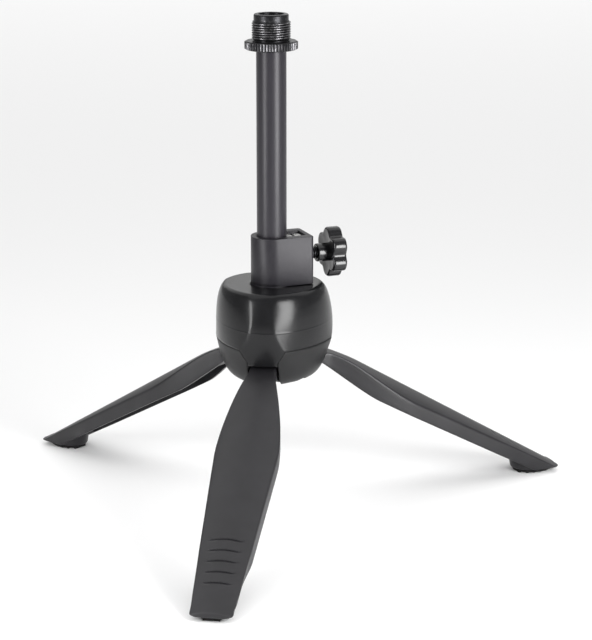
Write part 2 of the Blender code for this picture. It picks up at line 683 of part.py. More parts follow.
def foot_pad():
    """Oval rubber pad under the foot, with a small lower edge."""
    middle = LEG_REACH - PAD_SETBACK - PIVOT_RADIUS
    loops = []
    for inset, z in ((PAD_EDGE, 0.0), (0.0, PAD_EDGE), (0.0, PAD_THICKNESS)):
        oval = Matrix.Diagonal((PAD_LENGTH / 2 - inset, PAD_WIDTH / 2 - inset, 1, 1))
        loops.append([shift(middle, 0, -PIVOT_HEIGHT) @ oval @ point for point in circle(1.0, z, 24)])
    return shape("right_foot_pad", skin(loops))


# ---------------------------------------------------------------- collar and clamp


def collar_outline(inset, z):
    """A half round about the tube, run on as a block with rounded corners."""
    radius, reach = COLLAR_RADIUS - inset, BLOCK_REACH - inset
    back = [math.radians(90 + 180 * i / 16) for i in range(17)]
    points = [Vector((radius * math.cos(a), radius * math.sin(a), z)) for a in back]
    for side, first in ((-1, -90), (1, 0)):
        for i in range(4):
            a = math.radians(first + 90 * i / 3)
            x = reach - BLOCK_CORNER + BLOCK_CORNER * math.cos(a)
            y = side * (radius - BLOCK_CORNER) + BLOCK_CORNER * math.sin(a)
            points.append(Vector((x, y, z)))
    return points


def clamp_collar():
    """Block round the tube with a spigot through the hub's top, a pocket for the clamp and a screw hole."""
    edge = COLLAR_EDGE
    levels = [(edge, COLLAR_FOOT), (0.0, COLLAR_FOOT + edge), (0.0, COLLAR_TOP - edge), (edge, COLLAR_TOP)]
    collar = shape("clamp_collar", skin([collar_outline(inset, z) for inset, z in levels]))
    join(collar, rod(SPIGOT_RADIUS, SPIGOT_END, COLLAR_FOOT + POCKET_FLOOR / 2, ROUND))
    cut(collar, rod(COLLAR_BORE, SPIGOT_END - PAST, COLLAR_TOP + PAST, ROUND))
    pocket_corner = (TUBE_RADIUS - PAST, -POCKET_HALF, COLLAR_FOOT + POCKET_FLOOR)
    cut(collar, block(pocket_corner, (POCKET_END, POCKET_HALF, COLLAR_TOP + PAST)))
    cut(collar, screw_rod(SCREW_RADIUS + SEAT_GAP, POCKET_END - PAST, BLOCK_REACH + PAST))
    return collar


def collar_lock_ring():
    """Notched ring nut that pulls the collar down onto the hub from inside."""
    top = HUB_TOP - HUB_WALL - SEAT_GAP
    inner = SPIGOT_RADIUS + SEAT_GAP
    low = top - RING_HEIGHT
    profile = [(RING_RADIUS, low), (RING_RADIUS, top), (inner, top), (inner, low)]
    ring = shape("collar_lock_ring", turned(profile, ring=True))
    half, depth = RING_NOTCH_WIDTH / 2, RING_RADIUS - RING_NOTCH_DEPTH
    for angle in (45, 135, 225, 315):
        notch = block((depth, -half, low - PAST), (2 * RING_RADIUS, half, low + RING_HEIGHT / 2))
        cut(ring, moved(notch, turn_z(angle)))
    return ring


def clamp_nut():
    """Threaded plate that stands in the pocket against its end wall."""
    half = POCKET_HALF - SEAT_GAP
    low = (NUT_FRONT, -half, COLLAR_FOOT + POCKET_FLOOR + SEAT_GAP)
    nut = shape("clamp_nut", block(low, (NUT_BACK, half, COLLAR_TOP - NUT_TOP_SETBACK)))
    cut(nut, screw_rod(SCREW_RADIUS + RUN_GAP, NUT_FRONT - PAST, NUT_BACK + PAST))
    return nut


def clamp_pad():
    """Shoe that the screw presses on the tube, hollowed to the tube's radius."""
    half = POCKET_HALF - SEAT_GAP
    low = COLLAR_FOOT + POCKET_FLOOR + SEAT_GAP
    high = low + CLAMP_PAD_HEIGHT
    front = math.sqrt(CLAMP_PAD_FRONT**2 - half**2) + SEAT_GAP
    pad = shape("clamp_pad", block((front, -half, low), (CLAMP_PAD_BACK, half, high)))
    cut(pad, rod(CLAMP_PAD_FRONT, low - PAST, high + PAST, ROUND))
    cut(pad, screw_rod(SCREW_TIP_RADIUS + RUN_GAP, CLAMP_PAD_BACK - SCREW_TIP_LENGTH, CLAMP_PAD_BACK + PAST))
    return pad


def knob_loop(inset, x):
    """Star outline with rounded lobes, about the screw's axis."""
    sides = 8 * KNOB_LOBES
    points = []
    for i in range(sides):
        a = math.tau * i / sides
        dip = KNOB_DIP * (0.5 - 0.5 * math.cos(KNOB_LOBES * a))
        r = KNOB_RADIUS - inset - dip
        points.append(Vector((x, r * math.sin(a), r * math.cos(a))))
    return points


def thumbscrew_knob():
    """Star knob with a round neck, moulded over the screw's end. It is drawn about the screw's axis."""
    face, edge = KNOB_START + KNOB_THICKNESS, KNOB_EDGE
    levels = [(edge, KNOB_START), (0.0, KNOB_START + edge), (0.0, face - edge), (edge, face)]
    knob = shape("thumbscrew_knob", skin([knob_loop(inset, x) for inset, x in levels]))
    profile = [
        (NECK_RADIUS - NECK_EDGE, NECK_START),
        (NECK_RADIUS, NECK_START + NECK_EDGE),
        (NECK_RADIUS, KNOB_START + PAST),
    ]
    join(knob, moved(turned(profile), ALONG_X))
    hole = rod(SCREW_RADIUS + SEAT_GAP, NECK_START - PAST, NECK_START + SCREW_IN_KNOB + SEAT_GAP)
    cut(knob, moved(hole, ALONG_X))
    return knob


def thumbscrew_stud():
    """Clamp screw with a thinner tip that snaps into the clamp pad. It is drawn about its own axis."""
    shoulder = CLAMP_PAD_BACK + SEAT_GAP
    profile = [
        (SCREW_TIP_RADIUS, shoulder - SCREW_TIP_LENGTH),
        (SCREW_TIP_RADIUS, shoulder),
        (SCREW_RADIUS, shoulder),
        (SCREW_RADIUS, NECK_START + SCREW_IN_KNOB),
    ]
    return shape("thumbscrew_stud", moved(turned(profile, SMALL_ROUND), ALONG_X))


# ---------------------------------------------------------------- tube and thread adapter


def centre_tube():
    outside = [(TUBE_RADIUS, TUBE_END), (TUBE_RADIUS, TUBE_TOP)]
    bore = [(TUBE_BORE, TUBE_TOP), (TUBE_BORE, TUBE_END)]
    return shape("centre_tube", turned(outside + bore, ring=True))


def tube_stop():
    """Cup on the tube's lower end, wider than the collar's bore, so that the tube can't be pulled out."""
    low = TUBE_END - SEAT_GAP - STOP_FLOOR
    bore, drain = TUBE_RADIUS + RUN_GAP, TUBE_BORE - STOP_LIP
    profile = [
        (drain, low),
        (STOP_RADIUS - SEAT_GAP, low),
        (STOP_RADIUS, low + SEAT_GAP),
        (STOP_RADIUS, low + STOP_HEIGHT),
        (bore, low + STOP_HEIGHT),
        (bore, low + STOP_FLOOR),
        (drain, low + STOP_FLOOR),
    ]
    return shape("tube_stop", turned(profile, ring=True))


def thread_loop(z):
    """One level of a helical thread, whose radius rises and falls once in each pitch."""
    from_ends = min(z - FLANGE_TOP - RELIEF_LENGTH, THREAD_TOP - z)
    full = smooth_step(from_ends / THREAD_PITCH)
    points = []
    for i in range(ROUND):
        a = math.tau * i / ROUND
        phase = (z / THREAD_PITCH - i / ROUND) % 1.0
        radius = THREAD_DIAMETER / 2 - THREAD_DEPTH * (1 - full * (1 - abs(2 * phase - 1)))
        points.append(Vector((radius * math.cos(a), radius * math.sin(a), z)))
    return points


def knurled_flange(inner):
    """Ring with straight ridges round its rim and a bevel at each face."""
    low, high = FLANGE_FOOT, FLANGE_TOP
    bevelled = FLANGE_RADIUS - FLANGE_EDGE - KNURL_DEPTH
    levels = [
        (inner, low, 0.0),
        (bevelled, low, 0.0),
        (FLANGE_RADIUS, low + FLANGE_EDGE, KNURL_DEPTH),
        (FLANGE_RADIUS, high - FLANGE_EDGE, KNURL_DEPTH),
        (bevelled, high, 0.0),
        (inner, high, 0.0),
    ]
    loops = []
    for radius, z, ridge in levels:
        loop = circle(1.0, z, 2 * KNURL_COUNT)
        radii = (radius - ridge * (i % 2) for i in range(2 * KNURL_COUNT))
        loops.append([Vector((r * point.x, r * point.y, z)) for r, point in zip(radii, loop)])
    return skin(loops, ring=True)


def mic_thread_adapter():
    """Threaded nose, relief groove, knurled flange and plug as one turned part, bored right through."""
    root = THREAD_DIAMETER / 2 - THREAD_DEPTH
    plug = TUBE_BORE - SEAT_GAP
    narrow = plug - PLUG_WALL
    hidden = FLANGE_RADIUS - 3 * FLANGE_EDGE
    foot = [
        (narrow, FLANGE_FOOT - PLUG_LENGTH),
        (plug, FLANGE_FOOT - PLUG_LENGTH),
        (plug, FLANGE_FOOT + SEAT_GAP),
        (hidden, FLANGE_FOOT + SEAT_GAP),
        (hidden, FLANGE_TOP - SEAT_GAP),
        (root, FLANGE_TOP - SEAT_GAP),
        (root, FLANGE_TOP + RELIEF_LENGTH),
    ]
    nose = [
        (root, THREAD_TOP),
        (NOSE_RADIUS, THREAD_TOP),
        (NOSE_RADIUS, STAND_TOP - NOSE_EDGE),
        (NOSE_RADIUS - 0.3 * NOSE_EDGE, STAND_TOP - 0.3 * NOSE_EDGE),
        (NOSE_RADIUS - NOSE_EDGE, STAND_TOP),
        (TUBE_BORE + BORE_EDGE, STAND_TOP),
        (TUBE_BORE, STAND_TOP - BORE_EDGE),
        (TUBE_BORE, FLANGE_TOP),
        (narrow, FLANGE_TOP - BORE_EDGE),
    ]
    threaded = THREAD_LENGTH - RELIEF_LENGTH
    levels = between(FLANGE_TOP + RELIEF_LENGTH, THREAD_TOP, round(4 * threaded / THREAD_PITCH))
    thread = [thread_loop(z) for z in levels]
    loops = [*(circle(r, z) for r, z in foot), *thread, *(circle(r, z) for r, z in nose)]
    adapter = shape("mic_thread_adapter", skin(loops, ring=True))
    join(adapter, knurled_flange(root + SEAT_GAP))
    return adapter


# ---------------------------------------------------------------- the stand


def copies(obj, names_and_parents):
    """Further objects that share a finished piece's mesh."""
    for name, parent in names_and_parents:
        copy = bpy.data.objects.new(name, obj.data)
        bpy.context.scene.collection.objects.link(copy)
        copy.parent = parent


def build():
    for obj in list(bpy.data.objects):
        bpy.data.objects.remove(obj)

    stand = empty("stand_axis", (AXIS_X, 0, 0))
    clamp = empty("thumbscrew_axis", (0, 0, SCREW_AXIS), parent=stand)
    complete(hub_upper_shell(), finish("hub_upper_plastic", (0.030, 0.030, 0.032), 0.33), stand)
    complete(hub_lower_shell(), finish("hub_lower_plastic", (0.028, 0.028, 0.030), 0.40), stand)
    complete(clamp_collar(), finish("collar_paint", (0.060, 0.056, 0.064), 0.42), stand)
    complete(collar_lock_ring(), finish("ring_plastic", (0.030, 0.030, 0.030), 0.50), stand)
    complete(clamp_nut(), finish("nut_zinc", (0.620, 0.620, 0.600), 0.38, 1.0), stand)
    complete(clamp_pad(), finish("clamp_zinc", (0.600, 0.600, 0.580), 0.42, 1.0), stand)
    complete(thumbscrew_knob(), finish("knob_plastic", (0.022, 0.022, 0.024), 0.22), clamp)
    complete(thumbscrew_stud(), finish("stud_steel", (0.050, 0.050, 0.055), 0.35, 1.0), clamp)
    complete(centre_tube(), finish("tube_paint", (0.055, 0.051, 0.058), 0.42), stand)
    complete(tube_stop(), finish("stop_nylon", (0.040, 0.040, 0.040), 0.50), stand)
    complete(mic_thread_adapter(), finish("adapter_steel", (0.040, 0.040, 0.042), 0.30, 1.0), stand)

    bosses = []
    for angle in BETWEEN_LEGS:
        place = turn_z(angle) @ Vector((BOSS_AT, 0, 0))
        bosses.append(empty(f"boss_{angle:.0f}", place, angle, stand))
    screw = complete(hub_screw(), finish("screw_steel", (0.060, 0.060, 0.065), 0.35, 1.0), bosses[0])
    copies(screw, [("hub_screw_2", bosses[1]), ("hub_screw_3", bosses[2])])

    hinges = {}
    for side, angle in LEG_ANGLES.items():
        place = turn_z(angle) @ Vector((PIVOT_RADIUS, 0, PIVOT_HEIGHT))
        hinges[side] = empty(f"{side}_leg_hinge", place, angle, stand)
    pieces = {
        "leg": (leg(), finish("leg_plastic", (0.033, 0.032, 0.035), 0.50)),
        "leg_pin": (leg_pin(), finish("pin_steel", (0.450, 0.450, 0.460), 0.30, 1.0)),
        "foot_pad": (foot_pad(), finish("pad_rubber", (0.016, 0.016, 0.016), 0.80)),
    }
    for name, (obj, material) in pieces.items():
        complete(obj, material, hinges["right"])
        copies(obj, [(f"{side}_{name}", hinges[side]) for side in ("left", "front")])


build()
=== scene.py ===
# %% [markdown]
# # A folding desktop tripod stand
# The stand is a mast in a clamp on a domed hub, with three moulded legs. Its mechanical model is already
# made: it is loaded here as a fixed frame, and every piece below takes its place from it. What this lesson
# adds is what the eye sees: finer shapes, rounded edges, threads and knurls, and a material for each surface.

# %% Load the frame
import math

import bmesh
import bpy
from mathutils import Matrix, Vector


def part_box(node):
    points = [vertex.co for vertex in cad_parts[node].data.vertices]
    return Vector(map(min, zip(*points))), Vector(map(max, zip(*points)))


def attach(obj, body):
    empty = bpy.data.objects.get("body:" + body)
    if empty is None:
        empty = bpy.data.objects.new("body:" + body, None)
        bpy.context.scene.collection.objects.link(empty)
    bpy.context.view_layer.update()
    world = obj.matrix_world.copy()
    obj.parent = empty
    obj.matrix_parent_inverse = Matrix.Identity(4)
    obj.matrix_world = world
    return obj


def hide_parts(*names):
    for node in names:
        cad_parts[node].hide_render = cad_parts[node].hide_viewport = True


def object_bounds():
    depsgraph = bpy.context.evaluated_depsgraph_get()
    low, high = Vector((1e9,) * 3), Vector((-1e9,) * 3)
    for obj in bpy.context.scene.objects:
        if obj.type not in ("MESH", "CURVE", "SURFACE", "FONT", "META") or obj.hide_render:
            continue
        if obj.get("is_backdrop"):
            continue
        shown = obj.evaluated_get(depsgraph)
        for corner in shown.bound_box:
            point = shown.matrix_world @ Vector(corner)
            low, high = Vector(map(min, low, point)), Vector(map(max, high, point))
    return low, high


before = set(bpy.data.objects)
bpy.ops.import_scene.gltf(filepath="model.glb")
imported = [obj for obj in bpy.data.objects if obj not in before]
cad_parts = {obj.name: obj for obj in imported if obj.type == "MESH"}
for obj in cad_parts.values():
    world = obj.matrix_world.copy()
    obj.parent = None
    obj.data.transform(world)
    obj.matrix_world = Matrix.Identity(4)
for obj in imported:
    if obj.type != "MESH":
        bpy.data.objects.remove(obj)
cad_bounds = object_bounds()

# %% [markdown]
# ## Millimetres about the tube's axis
# A turned or a three-sided piece is simplest to describe about its own axis, and small sizes read best in
# millimetres. So each mesh is made in millimetres about the tube's axis, and is moved and scaled into the
# frame's metres when it becomes a piece. The right leg points along X.

# %% Where the stand is in the frame
MM = 0.001


def tube_axis():
    low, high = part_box("centre_tube")
    return Vector(((low.x + high.x) / 2, (low.y + high.y) / 2, 0))


AXIS = tube_axis()
TO_FRAME = Matrix.Translation(AXIS) @ Matrix.Scale(MM, 4)
LEGS = {"right": 0.0, "left": 120.0, "front": 240.0}


def cad(node):
    """Lowest and highest corner of a node of the frame, in millimetres about the tube's axis."""
    low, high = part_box(node)
    return (low - AXIS) / MM, (high - AXIS) / MM


def turn(degrees):
    return Matrix.Rotation(math.radians(degrees), 4, "Z")


print("tube's axis at", [round(v, 4) for v in AXIS])

# %% [markdown]
# ## Skins through loops
# Nearly every piece here is a skin stretched over a row of loops: a turned piece has round loops, a leg has
# one loop for each cross-section. One helper makes the faces between loops, so each piece only says where its
# points are. Normals are worked out again at the end, so it doesn't matter which way a loop was written.

# %% Helpers for skins
FINE = 96  # sides of a round piece


def weave(bm, rows, closed=True):
    """Faces between each row of vertices and the next; a closed row goes round to its start."""
    for row, after in zip(rows, rows[1:]):
        for i in range(len(row) if closed else len(row) - 1):
            j = (i + 1) % len(row)
            bm.faces.new((row[i], row[j], after[j], after[i]))


def skin(loops, ring=False):
    """A closed body through loops of equal length, with flat ends, or joined end to end as a ring."""
    bm = bmesh.new()
    rows = [[bm.verts.new(point) for point in loop] for loop in loops]
    weave(bm, rows + rows[:1] if ring else rows)
    if not ring:
        bm.faces.new(rows[0])
        bm.faces.new(rows[-1])
    return bm


def polar(radius, angle, z=0.0):
    return Vector((radius * math.cos(angle), radius * math.sin(angle), z))


def circle(radius, z, sides=FINE):
    return [polar(radius, math.tau * i / sides, z) for i in range(sides)]


def turned(profile, sides=FINE, ring=True):
    """A body turned about Z from (radius, height) points."""
    return skin([circle(radius, z, sides) for radius, z in profile], ring)


def box_between(low, high):
    outline = [(low[0], low[1]), (high[0], low[1]), (high[0], high[1]), (low[0], high[1])]
    return skin([[Vector((x, y, z)) for x, y in outline] for z in (low[2], high[2])])


def moved(bm, *steps):
    for step in steps:
        bmesh.ops.transform(bm, matrix=step, verts=bm.verts)
    return bm


def pour(part, whole):
    """Adds a bmesh, or an object's mesh, to a bmesh as a body of its own. The part is used up."""
    if isinstance(part, bpy.types.Object):
        whole.from_mesh(part.data)
        bpy.data.objects.remove(part)
        return
    bmesh.ops.recalc_face_normals(part, faces=part.faces)
    mesh = bpy.data.meshes.new("part")
    part.to_mesh(mesh)
    part.free()
    whole.from_mesh(mesh)
    bpy.data.meshes.remove(mesh)


def ease(u):
    u = min(max(u, 0.0), 1.0)
    return u * u * (3 - 2 * u)


def spread(low, high, count):
    """Evenly spaced values from one end to the other, both included."""
    return [low + (high - low) * i / count for i in range(count + 1)]


ALONG_X = Matrix.Rotation(math.radians(90), 4, "Y")
ALONG_Y = Matrix.Rotation(math.radians(-90), 4, "X")
print("a turned piece has", FINE, "sides")

# %% [markdown]
# ## From a mesh to a piece
# A moulded or machined edge is never a knife edge: it has a small round that catches the light, and without
# it a model looks like paper. A Bevel modifier limited by angle gives that round to every sharp edge at once.
# The piece is turned into a plain mesh before it rides on its body.

# %% Helpers for pieces


def placed(name, data):
    """An object with this data, in the scene."""
    obj = bpy.data.objects.new(name, data)
    bpy.context.scene.collection.objects.link(obj)
    return obj


def as_object(name, bm, closed=True):
    """An object from a bmesh. A closed body's faces are turned outward; an open skin's keep their way."""
    if closed:
        bmesh.ops.recalc_face_normals(bm, faces=bm.faces)
    mesh = bpy.data.meshes.new(name)
    bm.to_mesh(mesh)
    bm.free()
    return placed(name, mesh)


def join_bodies(obj, *others):
    """Adds objects and bmeshes to an object as bodies of their own, faces outward."""
    whole = bmesh.new()
    whole.from_mesh(obj.data)
    for other in others:
        pour(other, whole)
    bmesh.ops.recalc_face_normals(whole, faces=whole.faces)
    whole.to_mesh(obj.data)
    whole.free()
    return obj


def apply_modifiers(obj):
    """Replaces an object's mesh by what its modifiers make of it."""
    depsgraph = bpy.context.evaluated_depsgraph_get()
    result = bpy.data.meshes.new_from_object(obj.evaluated_get(depsgraph))
    before = obj.data
    obj.modifiers.clear()
    obj.data = result
    bpy.data.meshes.remove(before)
    return obj


def cut(obj, *bodies):
    """Takes bodies away from an object."""
    together = bmesh.new()
    for body in bodies:
        pour(body, together)
    tool = as_object("tool", together)
    modifier = obj.modifiers.new("cut", "BOOLEAN")
    modifier.operation = "DIFFERENCE"
    modifier.object = tool
    apply_modifiers(obj)
    bpy.data.objects.remove(tool)
    return obj


def rounded(obj, width, angle=45.0, segments=3):
    """Rounds every edge sharper than an angle, to a width in millimetres."""
    modifier = obj.modifiers.new("edges", "BEVEL")
    modifier.width = width
    modifier.segments = segments
    modifier.limit_method = "ANGLE"
    modifier.angle_limit = math.radians(angle)
    modifier.harden_normals = True
    obj.data.shade_smooth()
    return apply_modifiers(obj)


def piece(obj, body, material, slot, *nodes, sharp=35.0):
    """Moves a finished mesh into the frame, gives it its material and puts it on its body."""
    obj.data.transform(TO_FRAME)
    obj.data.materials.clear()
    obj.data.materials.append(material)
    obj.data.shade_smooth()
    obj.data.set_sharp_from_angle(angle=math.radians(sharp))
    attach(obj, body)
    if nodes:
        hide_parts(*nodes)
    print(f"{obj.name}: {len(obj.data.polygons)} faces on {body}")


def on_each_leg(pattern, name, material, slot, node, sharp=35.0):
    """Puts a copy of a pattern on every leg, turned to its side, and removes the pattern."""
    for side, angle in LEGS.items():
        obj = placed(f"{name}_{side}", pattern.data.copy())
        obj.data.transform(turn(angle))
        piece(obj, f"{side}_leg", material, slot, f"{side}_{node}", sharp=sharp)
    bpy.data.objects.remove(pattern)


# %% [markdown]
# ## Shader maths as Python
# A procedural material is a sum: a base value plus a little of this noise and that mask. Written with nodes
# alone it is hard to read, so a small class wraps a node's output and adds a Math node for each operator.
# `0.4 + 0.1 * (grain - 0.5)` then means what it says. Every other node comes from one method, `node`.

# %% A small language for node trees


class Signal:
    """An output of a node that can be used in an expression."""

    def __init__(self, graph, socket):
        self.graph = graph
        self.socket = socket

    def __add__(self, other):
        return self.graph.maths("ADD", self, other)

    def __sub__(self, other):
        return self.graph.maths("SUBTRACT", self, other)

    def __rsub__(self, other):
        return self.graph.maths("SUBTRACT", other, self)

    def __mul__(self, other):
        return self.graph.maths("MULTIPLY", self, other)

    def __truediv__(self, other):
        return self.graph.maths("DIVIDE", self, other)

    __radd__ = __add__
    __rmul__ = __mul__

    def between(self, low, high):
        """0 below low, 1 above high, and smooth in between."""
        sockets = {"Value": self, "From Min": low, "From Max": high}
        return self.graph.node("ShaderNodeMapRange", {"interpolation_type": "SMOOTHSTEP"}, sockets)


class Graph:
    """Adds nodes to a tree and links them."""

    def __init__(self, tree):
        self.tree = tree

    def node(self, kind, settings=None, sockets=None, output=0):
        """A node of a type: its settings are set first, then its sockets get values or links."""
        made = self.tree.nodes.new(kind)
        for name, value in (settings or {}).items():
            setattr(made, name, value)
        for name, value in (sockets or {}).items():
            if isinstance(value, Signal):
                self.tree.links.new(value.socket, made.inputs[name])
            else:
                made.inputs[name].default_value = value
        return Signal(self, made.outputs[output]) if len(made.outputs) else made

    def maths(self, operation, a, b=0.0):
        return self.node("ShaderNodeMath", {"operation": operation}, {0: a, 1: b})

    def mix(self, share, colour, other):
        sockets = {0: share, 6: colour, 7: other}
        return self.node("ShaderNodeMix", {"data_type": "RGBA"}, sockets, 2)

    def split(self, vector):
        """The three parts of a vector."""
        made = self.node("ShaderNodeSeparateXYZ", {}, {"Vector": vector})
        return [Signal(self, part) for part in made.socket.node.outputs]


class Finish(Graph):
    """A material whose Principled shader is fed by signals."""

    def __init__(self, name, **constants):
        self.material = bpy.data.materials.new(name)
        self.material.use_nodes = True
        super().__init__(self.material.node_tree)
        self.shader = self.tree.nodes["Principled BSDF"]
        for socket, value in constants.items():
            self.shader.inputs[socket.replace("_", " ")].default_value = value
        self.place = self.node("ShaderNodeTexCoord", output="Object")

    def noise(self, size, detail=2.0, stretch=(1, 1, 1)):
        """Soft noise whose blotches are about a size across, in millimetres, on average 0.5."""
        scale = [1 / (size * MM * along) for along in stretch]
        at = self.node("ShaderNodeMapping", {}, {"Vector": self.place, "Scale": scale})
        return self.node("ShaderNodeTexNoise", {}, {"Vector": at, "Scale": 1.0, "Detail": detail})

    def about_axis(self):
        """Distance from the tube's axis and height, in millimetres."""
        centre = self.node("ShaderNodeMapping", {}, {"Vector": self.place, "Location": -AXIS})
        x, y, z = self.split(centre)
        return self.maths("SQRT", x * x + y * y) * (1 / MM), z * (1 / MM)

    def feed(self, socket, signal):
        self.tree.links.new(signal.socket, self.shader.inputs[socket])

    def bump(self, height, depth):
        """Raises the surface by a signal times a depth in millimetres."""
        sockets = {"Height": height, "Distance": depth * MM, "Strength": 1.0}
        self.feed("Normal", self.node("ShaderNodeBump", {}, sockets))
        return self.material


def shade(colour, by):
    """A colour as the shader wants it, made lighter or darker."""
    return (*(channel * by for channel in colour), 1)


# %% [markdown]
# ## Moulded plastic
# The hub and legs are black moulded plastic. Black plastic isn't one flat black: it has faint clouds where the
# flow cooled at different rates, a fine spark-eroded grain, and it is a little greyer where hands rub it. The
# clouds go to colour and roughness, and the grain goes to bump. The size of the grain tells satin from gloss.

# %% Plastics


def plastic(name, colour, roughness, grain, depth, cloudy=0.12, sheen=0.5):
    finish = Finish(name, Specular_IOR_Level=sheen)
    clouds = finish.noise(9.0, 3.0)
    pores = finish.noise(grain, 1.0)
    share = (clouds - 0.3) * 1.6
    finish.feed("Base Color", finish.mix(share, shade(colour, 1 - cloudy), shade(colour, 1 + 2 * cloudy)))
    finish.feed("Roughness", roughness + 0.10 * (clouds - 0.5) + 0.08 * (pores - 0.5))
    return finish.bump(pores, depth)


hub_gloss = plastic("hub_gloss", (0.0065, 0.0065, 0.0072), 0.23, 0.22, 0.006, sheen=0.28)
bowl_satin = plastic("bowl_satin", (0.011, 0.011, 0.0115), 0.42, 0.25, 0.010, sheen=0.25)
leg_satin = plastic("leg_satin", (0.012, 0.0115, 0.0132), 0.40, 0.35, 0.016, cloudy=0.18, sheen=0.4)
knob_gloss = plastic("knob_gloss", (0.008, 0.008, 0.009), 0.20, 0.5, 0.004)
inner_plastic = plastic("inner_plastic", (0.022, 0.022, 0.022), 0.55, 0.4, 0.01)
pad_rubber = plastic("pad_rubber", (0.008, 0.008, 0.008), 0.82, 0.3, 0.02, sheen=0.25)
print("plastics:", hub_gloss.name, bowl_satin.name, leg_satin.name, knob_gloss.name, pad_rubber.name)

# %% [markdown]
# ## Painted tube and collar
# The tube and the collar wear the same satin charcoal paint, with a slight violet cast. Paint on drawn tube
# shows long faint streaks along the tube, and a fine orange peel. The streaks are noise stretched along Z.

# %% Paint


def paint(name, colour, roughness, streak):
    finish = Finish(name, Metallic=0.10, Specular_IOR_Level=0.3)
    streaks = finish.noise(0.8, 2.0, stretch=(1, 1, streak))
    peel = finish.noise(0.5, 2.0)
    finish.feed("Base Color", finish.mix(streaks, shade(colour, 0.86), shade(colour, 1.16)))
    finish.feed("Roughness", roughness + 0.12 * (streaks - 0.5) + 0.05 * (peel - 0.5))
    return finish.bump(peel, 0.008)


tube_paint = paint("tube_paint", (0.021, 0.0195, 0.024), 0.36, 40.0)
collar_paint = paint("collar_paint", (0.017, 0.0158, 0.0195), 0.42, 4.0)

# %% [markdown]
# ## Bare and blackened metal
# The adapter is turned steel, blackened afterwards. The black wears off the crests of the thread and of the
# knurl first, because only they touch anything. A mask of the distance from the axis finds the crests, and a
# noise breaks its edge up, so that the wear looks rubbed and not painted.

# %% Metals


def steel(name, colour, roughness):
    finish = Finish(name, Metallic=1.0)
    brushed = finish.noise(0.15, 2.0, stretch=(12, 12, 1))
    finish.feed("Base Color", finish.mix(brushed, shade(colour, 0.85), shade(colour, 1.12)))
    finish.feed("Roughness", roughness + 0.15 * (brushed - 0.5))
    return finish.bump(brushed, 0.004)


BLACKENED = (0.022, 0.022, 0.024, 1)
RUBBED_BARE = (0.24, 0.235, 0.245, 1)


def blackened(name, crests):
    """Blackened steel, worn where a (radius, lowest, highest) band of crests is reached."""
    finish = Finish(name, Metallic=0.85)
    radius, height = finish.about_axis()
    rub = finish.noise(1.6, 3.0)
    worn = 0.0
    for crest, low, high in crests:
        band = height.between(low - 0.1, low) * (1 - height.between(high, high + 0.1))
        worn = worn + band * (radius + 0.5 * (rub - 0.55)).between(crest - 0.16, crest + 0.10)
    finish.feed("Base Color", finish.mix(worn, BLACKENED, RUBBED_BARE))
    finish.feed("Roughness", 0.36 - 0.06 * worn + 0.18 * (rub - 0.5))
    return finish.bump(finish.noise(0.3, 2.0), 0.008)


zinc = steel("zinc", (0.56, 0.56, 0.55), 0.36)
pin_steel = steel("pin_steel", (0.42, 0.42, 0.43), 0.3)
dark_steel = steel("dark_steel", (0.035, 0.035, 0.038), 0.34)
print("metals:", zinc.name, pin_steel.name, dark_steel.name)

# %% [markdown]
# ## The hub's outline
# Seen from above, the hub is a rounded triangle. A strip of constant radius runs up over each leg, and between
# two strips the side is one flatter arc, so a soft crease stands along each strip's edge. Seen from the side,
# it is two quarter ellipses that meet at the widest ring. Low down, the strip widens into the tab that comes
# down over the leg. One function of height and angle holds all of this, and both shells are drawn from it, so
# they meet exactly. Where strip and side meet, a smooth minimum gives the crease its small round.

# %% The hub as one surface
HUB_FOOT = cad("hub_lower_shell")[0].z
HUB_TOP = cad("hub_upper_shell")[1].z
SHELL_GAP = 0.3
SEAM = cad("hub_lower_shell")[1].z + SHELL_GAP / 2
TAB_FOOT = cad("hub_upper_shell")[0].z
HUB_WAIST = HUB_FOOT + 24.0  # height of the widest ring
HUB_RADIUS = 24.2
TOP_INSET = 4.8
FOOT_INSET = 9.2
LOBE = 1.35  # strips stand this far out of the mean radius
HOLLOW = 1.5  # and the sides' middles fall this far short of it
CREASE = 0.07  # size of the round in the smooth minimum
HUB_WALL = 2.4
TAB_HALF = 6.2  # half width of a tab's foot
TAB_SLOPE = 5.0
TAB_FLARE = 3.2  # how much wider the tab is at the seam
STRIP_HALF = 4.2  # half width of a strip at its narrowest
STRIP_NECK = 88.0  # and the height of that place
SEAM_FLARE = 5.2  # how much wider a strip's half is at the seam
TOP_FLARE = 2.0  # and at the hub's top
SIXTH = math.radians(60)
THIRD = math.radians(120)


def from_waist(z):
    """0 at the widest ring and 1 at the hub's top or foot."""
    reach = HUB_TOP - HUB_WAIST if z > HUB_WAIST else HUB_WAIST - HUB_FOOT
    return min(abs(z - HUB_WAIST) / reach, 1.0)


def strip_half(z):
    """Half width of the strip over a leg, and below the seam of the tab."""
    if z < SEAM:
        return TAB_HALF + TAB_FLARE * min(max((z - SEAM) / TAB_SLOPE + 1, 0.0), 1.0)
    if z < STRIP_NECK:
        return STRIP_HALF + SEAM_FLARE * ((STRIP_NECK - z) / (STRIP_NECK - SEAM)) ** 2.2
    return STRIP_HALF + TOP_FLARE * ((z - STRIP_NECK) / (HUB_TOP - STRIP_NECK)) ** 2


def lobe_radius(z):
    inset = TOP_INSET if z > HUB_WAIST else FOOT_INSET
    mean = HUB_RADIUS - inset * (1 - math.sqrt(1 - from_waist(z) ** 2))
    return mean + LOBE * (1 - 0.5 * ease(from_waist(z)))


def strip_angle(z):
    return math.asin(strip_half(z) / lobe_radius(z))


